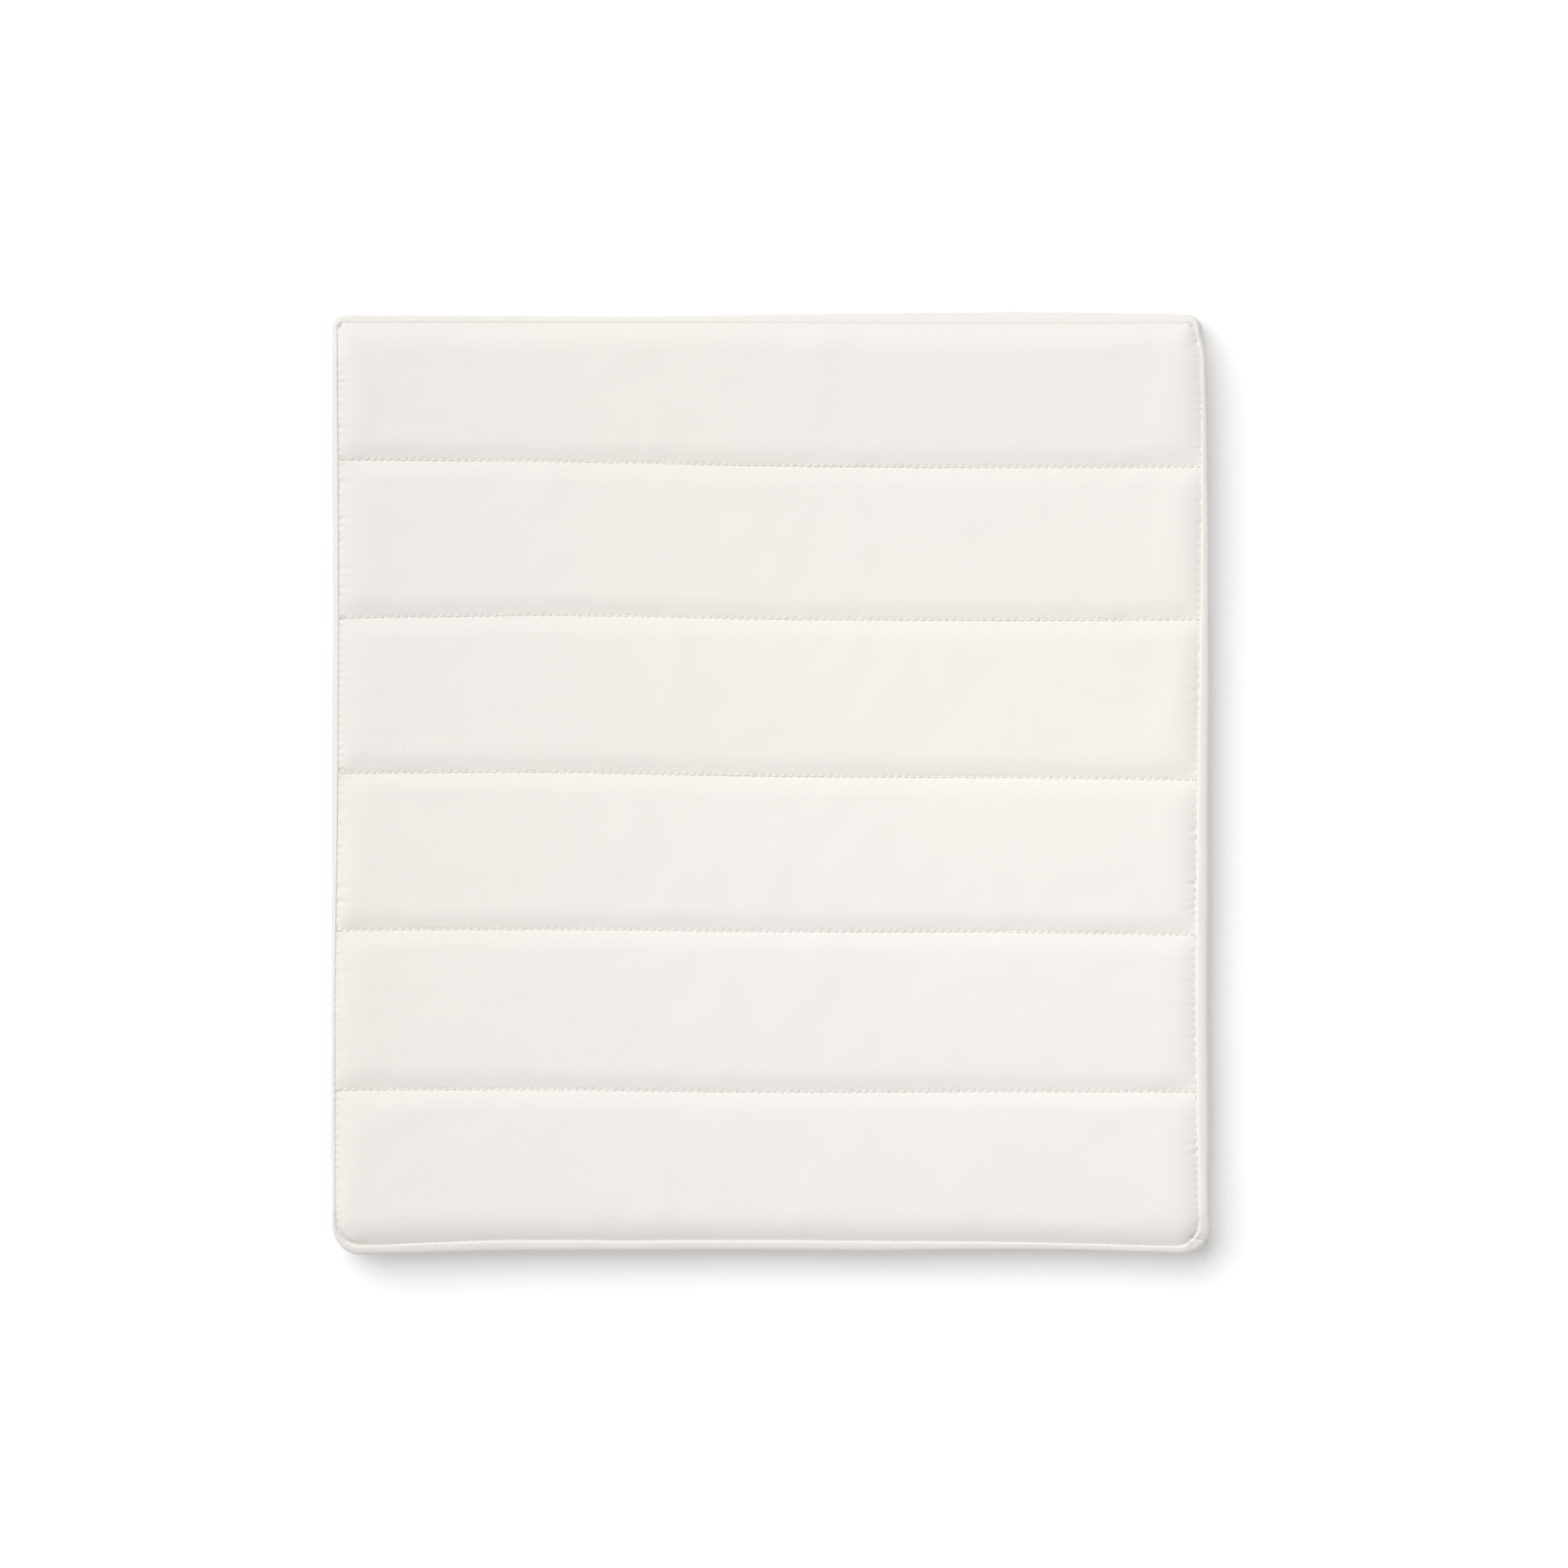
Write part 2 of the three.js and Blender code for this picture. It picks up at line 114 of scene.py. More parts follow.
# How far the sewn seams stray from straight, at even places along them. Side seams run from
# back to front, the others from left to right.
LEFT_STRAY = (1.3, 0.5, 0.9, 2.3, 2.1)
RIGHT_STRAY = (-0.6, -0.7, -2.5, -3.3, -1.5)
BACK_STRAY = (0.6, 0.6, 0.3, 0.0, 0.3)
FRONT_STRAY = (0.5, -1.9, -1.9, -2.0, -1.6, -0.9, 0.7)
QUILT_ROWS = (
    (148.9, 147.8, 146.0, 145.2, 145.4),
    (76.3, 77.4, 75.8, 75.1, 75.4),
    (5.2, 5.6, 3.8, 3.2, 2.2),
    (-66.9, -66.3, -67.4, -67.6, -69.0),
    (-139.9, -139.8, -140.9, -140.6, -140.8),
)
BOTTOM_STRAY = 0.3  # the bottom seam's share of the top seam's stray

# How far the stuffed band stands out past the seams, at the same places.
LEFT_BULGE = (2.6, 3.4, 3.0, 1.8, 1.9)
RIGHT_BULGE = (2.0, 4.2, 5.8, 6.4, 5.0)
BACK_BULGE = (3.6, 2.9, 3.9, 5.4, 4.4)
FRONT_BULGE = (4.4, 5.6, 5.2, 5.2, 4.9, 3.8, 3.8)
CORNER_BULGES = ((-1, 1, 0.1, 9), (1, 1, -0.4, 9), (1, -1, 2.6, 8))  # which corner, size and reach


# ---- Curves and noise ----


def through(values, share):
    """A smooth curve through values at even places, read at a share of its length."""
    at = np.clip(share, 0, 1) * (len(values) - 1.0)
    i = np.clip(at.astype(int), 0, len(values) - 2)
    longer = np.pad(np.array(values), 1, mode="reflect", reflect_type="odd")
    return sum(weight * longer[i + k] for k, weight in enumerate(spline_weights(at - i)))


def spline_weights(t):
    """Weights of the four values round a place between the middle two."""
    return (
        0.5 * (-t + 2 * t**2 - t**3),
        0.5 * (2 - 5 * t**2 + 3 * t**3),
        0.5 * (t + 4 * t**2 - 3 * t**3),
        0.5 * (t**3 - t**2),
    )


def easing(distance, reach):
    """0 to 1 over a reach, level at both ends."""
    t = np.clip(distance / reach, 0, 1)
    return t * t * (3 - 2 * t)


def soft_noise(x, y, size, seed):
    """Smooth noise from -1 to 1, with lumps of about the given size."""
    count = 128
    table = np.random.default_rng(seed).uniform(-1, 1, (count, count))
    x, y = x / size, y / size
    column, row = np.floor(x).astype(int), np.floor(y).astype(int)
    tx, ty = easing(x - column, 1), easing(y - row, 1)
    corners = [[table[(row + r) % count, (column + c) % count] for c in (0, 1)] for r in (0, 1)]
    upper, lower = (left * (1 - tx) + right * tx for left, right in corners)
    return upper * (1 - ty) + lower * ty


def smoothed(values, passes, ends):
    """Rows of values, each averaged with the rows beside it; ends is "wrap" for a closed run."""
    sides = [(1, 1)] + [(0, 0)] * (values.ndim - 1)
    for _ in range(passes):
        longer = np.pad(values, sides, mode=ends)
        values = (longer[:-2] + 2 * values + longer[2:]) / 4
    return values


def bell(distance, width):
    return np.exp(-((distance / width) ** 2))


def rising(distance, straight, reach):
    """A padded roll's rise from 0 to 1: an even slope beside the seam, then easing off by its reach."""
    d = np.clip(distance, 0, reach)
    eased = np.clip(d - straight, 0, None)
    return (d - eased**2 / (2 * (reach - straight))) * 2 / (straight + reach)


# ---- Mesh making ----

CRISP_ANGLE = math.radians(40)  # metal is shaded crisply over sharper edges than this


def make_piece(name, points, faces, node, slot="cover_fabric", body="pad", uv=None):
    """A mesh object from points in millimetres, riding on a body and standing for a CAD node."""
    mesh = bpy.data.meshes.new(name)
    mesh.from_pydata((points * MM).tolist(), [], faces)
    if uv is not None:
        layer = mesh.uv_layers.new(name="weave")
        loops = np.empty(len(mesh.loops), dtype=np.int32)
        mesh.loops.foreach_get("vertex_index", loops)
        layer.data.foreach_set("uv", (uv[loops] * MM).astype(np.float32).ravel())
    shaped = bmesh.new()
    shaped.from_mesh(mesh)
    bmesh.ops.recalc_face_normals(shaped, faces=shaped.faces)
    if slot == "zip_metal":
        for edge in shaped.edges:
            edge.smooth = len(edge.link_faces) == 2 and edge.calc_face_angle(0) < CRISP_ANGLE
    shaped.to_mesh(mesh)
    shaped.free()
    mesh.polygons.foreach_set("use_smooth", [True] * len(mesh.polygons))
    piece = add_object(name, mesh)
    piece.data.materials.append(MATERIALS[slot])
    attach(piece, body)
    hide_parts(node)
    return piece


def grid_quads(rows, columns):
    r, c = np.meshgrid(np.arange(rows - 1), np.arange(columns - 1), indexing="ij")
    a = (r * columns + c).ravel()
    return np.stack([a, a + columns, a + columns + 1, a + 1], 1)


def thick_faces(front, rim, count):
    """Faces of a sheet with thickness: front and back, count points apart, and the rim between."""
    back = [tuple(count + i for i in face[::-1]) for face in front]
    rim, ahead = np.array(rim), np.roll(rim, -1)
    return list(front) + back + np.stack([rim, ahead, ahead + count, rim + count], 1).tolist()


def thick_piece(name, front, back, uv, node, slot="cover_fabric"):
    """A cloth piece from matching grids of front and back points."""
    rows, columns = front.shape[:2]
    order = np.arange(rows * columns).reshape(rows, columns)
    rim = np.concatenate([order[0], order[1:-1, -1], order[-1, ::-1], order[-2:0:-1, 0]])
    faces = thick_faces(grid_quads(rows, columns).tolist(), rim, rows * columns)
    points = np.concatenate([front.reshape(-1, 3), back.reshape(-1, 3)])
    return make_piece(name, points, faces, node, slot, uv=np.tile(uv.reshape(-1, 2), (2, 1)))


def add_object(name, data, **values):
    made = put(bpy.data.objects.new(name, data), **values)
    bpy.context.scene.collection.objects.link(made)
    return made


def gathered(parts):
    """The points and faces of several parts as those of one."""
    faces, base = [], 0
    for points, part_faces in parts:
        faces += [[base + i for i in face] for face in part_faces]
        base += len(points)
    return np.concatenate([points for points, _ in parts]), faces


def tube_faces(rings, sides):
    """Faces of a closed tube of rings, with its two end caps."""
    r, s = np.meshgrid(np.arange(rings - 1), np.arange(sides), indexing="ij")
    a, b = (r * sides + s).ravel(), (r * sides + (s + 1) % sides).ravel()
    faces = np.stack([a, b, b + sides, a + sides], 1).tolist()
    last = (rings - 1) * sides
    return faces + [list(range(sides))[::-1], list(range(last, last + sides))]


# ---- Materials ----


class Nodes:
    """Short calls for building a node material."""

    def __init__(self, name):
        self.material = bpy.data.materials.new(name)
        self.material.use_nodes = True
        self.tree = self.material.node_tree
        self.shader = self.tree.nodes["Principled BSDF"]

    def fill(self, node, inputs):
        """Sets each input to a value, or joins it to another node's output."""
        for key, value in inputs.items():
            if isinstance(value, bpy.types.NodeSocket):
                self.tree.links.new(value, node.inputs[key])
            else:
                node.inputs[key].default_value = value

    def add(self, kind, out, inputs, **settings):
        node = put(self.tree.nodes.new("ShaderNode" + kind), **settings)
        self.fill(node, inputs)
        return node.outputs[out]

    def place(self):
        return self.add("TexCoord", "Object", {})

    def math(self, operation, *values):
        return self.add("Math", 0, dict(enumerate(values)), operation=operation)

    def noise(self, vector, scale, detail=2.0, roughness=0.5):
        inputs = {"Vector": vector, "Scale": scale, "Detail": detail, "Roughness": roughness}
        return self.add("TexNoise", "Fac", inputs)

    def wave(self, vector, direction, period):
        inputs = {"Vector": vector, "Scale": math.pi / 10 / period, "Detail": 0.0}
        return self.add("TexWave", "Fac", inputs, wave_type="BANDS", bands_direction=direction)

    def mix(self, factor, first, second):
        first, second = ((*c, 1) if isinstance(c, tuple) else c for c in (first, second))
        return self.add("Mix", "Result", {"Factor": factor, "A": first, "B": second}, data_type="RGBA")

    def bump(self, height, distance, strength, **after):
        inputs = {"Height": height, "Distance": distance, "Strength": strength, **after}
        normal = self.add("Bump", "Normal", inputs)
        self.fill(self.shader, {"Normal": normal})
        return normal

    def set(self, **values):
        self.fill(self.shader, {name.replace("_", " "): value for name, value in values.items()})


def woven(name, light, dark, thread_pitch, depth, tint=None):
    """Plain-woven cloth: threads over and under, slubs, and slow changes of tone."""
    n = Nodes(name)
    place, weave_place = n.place(), n.add("UVMap", "UV", {}, uv_map="weave")
    waves = (n.math("SUBTRACT", n.wave(weave_place, axis, 2 * thread_pitch), 0.5) for axis in "XY")
    crossing = n.math("MULTIPLY_ADD", n.math("MULTIPLY", *waves), 2.0, 0.5)
    fibres = n.noise(weave_place, 0.8 / thread_pitch, detail=4, roughness=0.65)
    slow = n.noise(place, 11, detail=3, roughness=0.55)
    tone = n.math("ADD", n.math("MULTIPLY", slow, 0.7), n.math("MULTIPLY", fibres, 0.3))
    base = n.mix(tone, dark, light)
    if tint is not None:
        broad = n.noise(place, 3.1, detail=1)
        base = n.mix(n.math("MULTIPLY_ADD", broad, 2.2, -0.6), base, tint)
    n.bump(fibres, depth * 1.5, 0.35, Normal=n.bump(crossing, depth, 0.5))
    n.set(Base_Color=base, Roughness=0.92, Specular_IOR_Level=0.15, Sheen_Weight=0.12, Sheen_Roughness=0.45)
    return n.material


def grained(name, light, dark, scale, depth, **finish):
    """A material with a fine random grain in its colour and its surface."""
    n = Nodes(name)
    grain = n.noise(n.place(), scale, detail=5, roughness=0.65)
    n.bump(grain, depth, 0.6)
    n.set(Base_Color=n.mix(grain, dark, light), **finish)
    return n.material


def open_cell_foam(name):
    n = Nodes(name)
    cells = n.add("TexVoronoi", "Distance", {"Vector": n.place(), "Scale": 900}, feature="F1")
    n.bump(cells, 0.0004, 0.9)
    # The colour is darker down in each cell's pit: painted shade in the pores.
    n.set(Base_Color=n.mix(cells, (0.62, 0.52, 0.28), (0.86, 0.78, 0.52)), Roughness=0.95)
    return n.material


def plated_metal(name):
    """Satin nickel with fine scratches along it."""
    n = Nodes(name)
    stretched = n.add("Mapping", "Vector", {"Vector": n.place(), "Scale": (120, 2600, 2600)})
    scratches = n.noise(stretched, 1.0, detail=3)
    n.bump(scratches, 0.00002, 0.35)
    n.set(Base_Color=n.mix(scratches, (0.50, 0.49, 0.47), (0.66, 0.65, 0.63)), Metallic=1.0, Roughness=0.32)
    return n.material


CREAM = (0.800, 0.777, 0.735)
CREAM_SHADE = (0.770, 0.744, 0.700)
CREAM_ROSE = (0.775, 0.745, 0.718)
MATERIALS = {
    "cover_fabric": woven("cover_cloth", CREAM, CREAM_SHADE, 0.00045, 0.00006, tint=CREAM_ROSE),
    "backing_cloth": woven("backing_cloth", (0.76, 0.76, 0.74), (0.68, 0.68, 0.66), 0.0007, 0.0001),
    "zip_tape": woven("zip_tape_cloth", (0.74, 0.71, 0.65), (0.66, 0.63, 0.57), 0.0005, 0.00015),
    "thread": grained(
        "sewing_thread", (0.88, 0.86, 0.82), (0.78, 0.75, 0.70), 2600, 0.00005,
        Roughness=0.6, Specular_IOR_Level=0.35, Sheen_Weight=0.1,
    ),
    "wadding": grained(
        "polyester_batting", (0.92, 0.92, 0.90), (0.78, 0.78, 0.76), 420, 0.0008,
        Roughness=1.0, Sheen_Weight=0.3,
    ),
    "foam": open_cell_foam("open_cell_foam"),
    "zip_coil": grained(
        "coil_nylon", (0.80, 0.77, 0.70), (0.73, 0.69, 0.61), 300, 0.00003,
        Roughness=0.38, Subsurface_Weight=0.1,
    ),
    "zip_metal": plated_metal("satin_nickel"),
}


# ---- Stage, light and camera ----

PICTURE_WIDTH = 0.720  # metres of the pad's mid height that the picture shows
CAMERA_HEIGHT = 5.0
MIDDLE_HEIGHT = 0.015
MIDDLE_X = 0.0058
SENSOR = 36.0
FLOOR_LIGHT = 0.115
SKY_LIGHT = 0.465
KEY_LIGHT = 2.17
KEY_SPREAD = math.radians(58)
KEY_TOWARDS = (-0.50, 0.53, 1)
BOX_LIGHT = 0.36
BOX_SIZE = 0.3
BOX_PLACE = (0.12, -0.03, 0.5)
FLOOR_HALF = 6.0


def make_camera():
    lens = SENSOR * (CAMERA_HEIGHT - MIDDLE_HEIGHT) / PICTURE_WIDTH
    data = put(bpy.data.cameras.new("camera"), sensor_width=SENSOR, lens=lens, clip_end=50)
    bpy.context.scene.camera = add_object("camera", data, location=(MIDDLE_X, 0, CAMERA_HEIGHT))


def make_floor():
    """A pale sweep with a little light of its own, like a back-lit table."""
    corners = [(x * FLOOR_HALF, y * FLOOR_HALF, 0) for x, y in ((-1, -1), (1, -1), (1, 1), (-1, 1))]
    mesh = bpy.data.meshes.new("floor")
    mesh.from_pydata(corners, [], [(0, 1, 2, 3)])
    floor = add_object("floor", mesh)
    n = Nodes("paper_sweep")
    paper = n.mix(n.noise(n.place(), 3), (0.88, 0.88, 0.88), (0.90, 0.90, 0.90))
    n.set(Base_Color=paper, Roughness=0.9, Specular_IOR_Level=0.1)
    n.set(Emission_Color=(1, 1, 1, 1), Emission_Strength=FLOOR_LIGHT)
    floor.data.materials.append(n.material)


def make_lights():
    """A broad key from beyond the back left, a soft box over the right, and an even surround."""
    world = bpy.data.worlds.new("studio")
    world.use_nodes = True
    background = world.node_tree.nodes["Background"]
    background.inputs["Color"].default_value = (1, 1, 1, 1)
    background.inputs["Strength"].default_value = SKY_LIGHT
    bpy.context.scene.world = world

    key = put(bpy.data.lights.new("key", "SUN"), energy=KEY_LIGHT, angle=KEY_SPREAD)
    turn = Vector(KEY_TOWARDS).to_track_quat("Z", "Y")
    add_object("key", key, rotation_mode="QUATERNION", rotation_quaternion=turn)
    box = put(bpy.data.lights.new("soft_box", "AREA"), shape="DISK", size=BOX_SIZE, energy=BOX_LIGHT)
    add_object("soft_box", box, location=BOX_PLACE)


make_camera()
make_floor()
make_lights()
bpy.context.scene.view_settings.view_transform = "Standard"


# ---- The seam lines of the quilted face ----


def corner_inset(distance, radius):
    """How far a side seam is drawn in at a distance from the end of the face."""
    into = np.clip(radius - distance, 0, radius)
    return radius - np.sqrt(radius**2 - into**2)


def channel_of(v):
    return np.clip(v.astype(int), 0, CHANNEL_COUNT - 1)


def around(u, v, stray=1.0):
    """The channel of each point, the share of the way down it, and its seams behind and in front."""
    channel = channel_of(v)
    back = SEAM_Y + stray * through(BACK_STRAY, u)
    front = -SEAM_Y - stray * through(FRONT_STRAY, u)
    lines = np.stack([back, *[through(row, u) for row in QUILT_ROWS], front])
    behind, before = (np.take_along_axis(lines, channel[None] + k, 0)[0] for k in (0, 1))
    return channel, v - channel, behind, before


def face_place(u, v, stray=1.0):
    """The place of the face's point u of the way across and v channels down from the back edge."""
    u, v = (a.astype(float) for a in np.broadcast_arrays(u, v))
    channel, t, behind, before = around(u, v, stray)
    y = behind + (before - behind) * t
    down = (SEAM_Y - y) / (2 * SEAM_Y)
    from_back = np.where(channel == 0, behind - y, FAR)
    from_front = np.where(channel == CHANNEL_COUNT - 1, y - before, FAR)
    inset = corner_inset(from_back, BACK_RADIUS) + corner_inset(from_front, FRONT_RADIUS)
    left = -SEAM_X - stray * through(LEFT_STRAY, down) + inset
    right = SEAM_X + stray * (through(RIGHT_STRAY, down) - 2.8 * bell(SEAM_Y - y, 11)) - inset
    return np.stack([left + (right - left) * u, y], -1)


def seam_loop(stray):
    """The seam round the face, counter-clockwise from the right end of the back edge."""
    across = np.linspace(0, 1, 800)
    down = (np.linspace(0, 0.12, 120), np.linspace(0.12, 5.8, 1200)[1:], np.linspace(5.8, 6, 160)[1:])
    down = np.concatenate(down)
    sides = ((1 - across, 0), (0, down), (across, CHANNEL_COUNT), (1, down[::-1]))
    return np.concatenate([face_place(u, v, stray)[:-1] for u, v in sides])


def read_columns(at, along, columns):
    return np.stack([np.interp(at, along, column) for column in columns.T], -1)


STEPS_PER_STITCH = 4
loops = np.hstack([seam_loop(1.0), seam_loop(BOTTOM_STRAY)])  # x and y of the top seam, then the bottom one
loops = np.vstack([loops, loops[:1]])
travelled = np.concatenate([[0], np.cumsum(np.hypot(*np.diff(loops[:, :2], axis=0).T))])
seam_length = travelled[-1]
SEAM_STITCHES = round(seam_length / STITCH_PITCH)
STATIONS = SEAM_STITCHES * STEPS_PER_STITCH
along_seam = np.arange(STATIONS) * seam_length / STATIONS
stations = read_columns(along_seam, travelled, loops)
top_seam, bottom_seam = stations[:, :2], stations[:, 2:]


ahead = np.roll(top_seam, -1, 0) - np.roll(top_seam, 1, 0)
normals = unit(smoothed(np.stack([ahead[:, 1], -ahead[:, 0]], -1), 6, "wrap"))
tangents = np.stack([-normals[:, 1], normals[:, 0]], -1)
is_side = abs(normals[:, 0]) > abs(normals[:, 1])


def tree_of(wanted):
    tree = kdtree.KDTree(int(wanted.sum()))
    for station in np.flatnonzero(wanted):
        tree.insert((*top_seam[station], 0), int(station))
    tree.balance()
    return tree


seam_tree, side_tree, end_tree = (tree_of(wanted) for wanted in (is_side | ~is_side, is_side, ~is_side))


def nearest_station(x, y):
    return seam_tree.find((x, y, 0))[1]


def from_seam(tree, places):
    """Each place's distance from the stations in a tree, the nearest of them, and its slide past it."""
    near = np.array([tree.find((x, y, 0))[1] for x, y in places])
    offset = places - top_seam[near]
    slide = (offset * tangents[near]).sum(1)
    inward = abs((offset * normals[near]).sum(1))
    return np.where(abs(slide) < 1, inward, np.hypot(inward, slide)), near, slide


def seam_height(places):
    """Height of the seam round the face: the side seams lie higher than the back and front ones."""
    return SEAM_Z + SIDE_LIFT * easing(SEAM_Y - abs(places[:, 1]), 18)


def rim_rise(places):
    """The cloth's rise from the seam, as a share of its full height, with rounded corners."""
    to_side, to_end = (np.maximum(from_seam(tree, places)[0], 1e-3) for tree in (side_tree, end_tree))
    distance = (to_side**-4 + to_end**-4) ** -0.25
    beside = easing(SEAM_X - abs(places[:, 0]), 18)
    return rising(distance, *RIM_SLOPE) * beside + rising(distance, *SIDE_RIM_SLOPE) * (1 - beside)


seam_heights = seam_height(top_seam)

JOIN_ANGLE = math.radians(-38)  # the way the join on the front right corner faces
corner = np.flatnonzero((top_seam[:, 0] > 150) & (top_seam[:, 1] < -150))
facing = np.arctan2(normals[corner, 1], normals[corner, 0])
band_join = int(corner[np.argmin(abs(facing - JOIN_ANGLE))])  # where the band's two strips meet
front_left_corner = nearest_station(-SEAM_X, -SEAM_Y)
back_corners = [int(np.argmax(top_seam[:, 1] + side * top_seam[:, 0])) for side in (-1, 1)]


# ---- The quilted face's surface ----

# How deep the sewing draws the cloth in.
PUCKER = 0.13
ROW_HOLE = 0.5
ROW_END_PIT = 0.45
SEAM_HOLE = 0.55
JOIN_PIT = 1.15
FRONT_LEFT_PIT = 1.0
BACK_CORNER_PIT = 1.6
LEFT_PLEAT = 0.62
RIGHT_PLEAT = 0.42


def pleats(along, into, low, high, count, seed, depth):
    """Short tucks that run in from a gathered side seam, between two places along it."""
    rng = np.random.default_rng(seed)
    drop = np.zeros(along.shape)
    for place in np.sort(rng.uniform(low, high, count)):
        length, width = rng.uniform(1.5, 5.2), rng.uniform(0.55, 1.25)
        deep, lean = depth * rng.uniform(0.35, 1.0), rng.uniform(-0.3, 0.3)
        near = (abs(along - place) < 8) & (into < 16)
        off = (along[near] - place - lean * into[near]) / width
        tuck = bell(off, 1) - 0.5 * bell(off - 1.9, 1.1) - 0.25 * bell(off + 1.9, 1.1)
        drop[near] += deep * tuck * bell(into[near], length)
    return drop


def quilt_height(places, u, v):
    """Height of the quilted cloth, before the stuffing settles it."""
    x, y = places.T
    channel, t, behind, before = around(u, v)
    to_behind = np.where(channel == 0, FAR, behind - y)
    to_row = np.minimum(to_behind, np.where(channel == CHANNEL_COUNT - 1, FAR, y - before))
    quilt = ROW_Z + ROW_RISE * rising(to_row, *ROW_SLOPE) + PILLOW_RISE * (1 - (2 * t - 1) ** 2)

    distance, near, slide = from_seam(seam_tree, places)
    along, endwise = along_seam[near] + slide, normals[near][:, 1] ** 2
    rim, low = rim_rise(places), seam_height(places)
    z = low + (quilt - low) * rim
    z += 0.22 * soft_noise(x, y, 55, 3) * rim + 0.10 * soft_noise(x, 1.7 * y, 21, 4) * rim
    return z, to_row, distance, along, endwise


def sewn_detail(x, u, v, to_row, distance, along, endwise):
    """Puckers along the quilting rows, needle holes, and the gathers of the side seams."""
    channel = channel_of(v)
    row = channel * 3 + (v - channel < 0.5)
    gather = soft_noise(x, row * 40.0, 4.4, 5) + 0.7 * soft_noise(x, row * 40.0 + 9, 9.5, 6)
    away = np.clip(distance / 4, 0, 1)
    drop = -PUCKER * gather * rising(to_row, 0.8, 2) * bell(to_row, 6.5) * away
    stitch = u * STITCHES_ACROSS
    from_hole = abs(stitch - np.round(stitch)) * STITCH_PITCH
    drop += (0.06 * bell(to_row, 0.7) + ROW_HOLE * bell(to_row, 0.5) * bell(from_hole, 0.45)) * away
    drop += ROW_END_PIT * bell(to_row, 0.8) * bell(distance - 1.0, 0.9)

    sidewise = 1 - endwise
    seam_stitch = along / seam_length * SEAM_STITCHES
    from_seam_hole = abs(seam_stitch - np.round(seam_stitch)) * STITCH_PITCH
    drop += SEAM_HOLE * (0.25 + 0.75 * sidewise) * bell(from_seam_hole, 0.58) * bell(distance - 0.75, 0.6)
    drop -= 0.10 * sidewise * bell(from_seam_hole - STITCH_PITCH / 2, 0.9) * bell(distance - 1.2, 1.2)
    drop += JOIN_PIT * bell(along - along_seam[band_join], 1.4) * bell(distance - 0.7, 1.0)
    drop += FRONT_LEFT_PIT * bell(along - along_seam[front_left_corner], 9) * bell(distance - 0.8, 0.8)
    for corner in back_corners:
        slid = (along - along_seam[corner] + seam_length / 2) % seam_length - seam_length / 2
        drop += BACK_CORNER_PIT * bell(np.hypot(slid, distance - 0.9), 1.1)
    left_start, right_start = 2 * SEAM_X, seam_length - 2 * SEAM_Y
    drop += pleats(along, distance, left_start + 4, left_start + 2 * SEAM_Y, 52, 7, LEFT_PLEAT)
    drop += pleats(along, distance, right_start, seam_length - 6, 36, 8, RIGHT_PLEAT)
    return drop


# ---- The stuffing's push, by cloth simulation ----

SIM_COLUMNS = 132
SIM_STEPS = 22  # down each channel
SIM_SHARE = 0.45  # of the movement that is kept, since a tightly filled pad hardly creases
SIM_CAP = 0.6


def inflate(start, held, frames):
    """Blows up a sheet held at its seams, as cloth, and returns how far each point moved."""
    rows, columns = start.shape[:2]
    mesh = bpy.data.meshes.new("stuffed")
    mesh.from_pydata((start.reshape(-1, 3) * MM).tolist(), [], grid_quads(rows, columns)[:, ::-1].tolist())
    sheet = add_object("stuffed", mesh)
    pins = sheet.vertex_groups.new(name="held")
    pins.add(np.flatnonzero(held.ravel()).tolist(), 1.0, "REPLACE")
    cloth = sheet.modifiers.new("cloth", "CLOTH")
    put(cloth.settings, tension_stiffness=25, compression_stiffness=25, shear_stiffness=8)
    put(cloth.settings, bending_stiffness=0.6, quality=6, mass=0.25, air_damping=2.0, shrink_min=-0.005)
    put(cloth.settings, use_pressure=True, uniform_pressure_force=4.0, vertex_group_mass="held")
    cloth.settings.effector_weights.gravity = 0
    cloth.collision_settings.use_collision = False
    cloth.point_cache.frame_end = frames
    for step in range(1, frames + 1):
        bpy.context.scene.frame_set(step)
    settled = sheet.evaluated_get(bpy.context.evaluated_depsgraph_get()).data
    points = np.empty(rows * columns * 3, np.float32)
    settled.vertices.foreach_get("co", points)
    bpy.context.scene.frame_set(1)
    bpy.data.objects.remove(sheet)
    bpy.data.meshes.remove(mesh)
    return points.reshape(rows, columns, 3) / MM - start


def quilt_grid(columns, steps):
    """The quilted cloth on an even grid, with a number of steps down each channel."""
    down, across = np.arange(CHANNEL_COUNT * steps + 1) / steps, np.linspace(0, 1, columns)
    v, u = np.meshgrid(down, across, indexing="ij")
    places = face_place(u, v)
    z = quilt_height(places.reshape(-1, 2), u.ravel(), v.ravel())[0]
    return np.dstack([places, z.reshape(u.shape)])


def stuffing_push():
    """How far the stuffing moves the face's cloth, as [channel, step, column, axis]."""
    start = quilt_grid(SIM_COLUMNS + 1, SIM_STEPS)
    held = np.zeros(start.shape[:2], bool)
    held[::SIM_STEPS] = True
    held[:, [0, -1]] = True
    moved = inflate(start, held, frames=20).swapaxes(0, 1)
    creases = SIM_SHARE * (moved - smoothed(moved, 150, "edge"))
    calm = smoothed(smoothed(creases, 2, "edge").swapaxes(0, 1), 2, "edge")
    size = np.linalg.norm(calm, axis=2, keepdims=True)
    capped = calm * SIM_CAP * np.tanh(size / SIM_CAP) / np.maximum(size, 1e-6)
    capped[held] = 0
    return np.stack([capped[k * SIM_STEPS : (k + 1) * SIM_STEPS + 1] for k in range(CHANNEL_COUNT)])


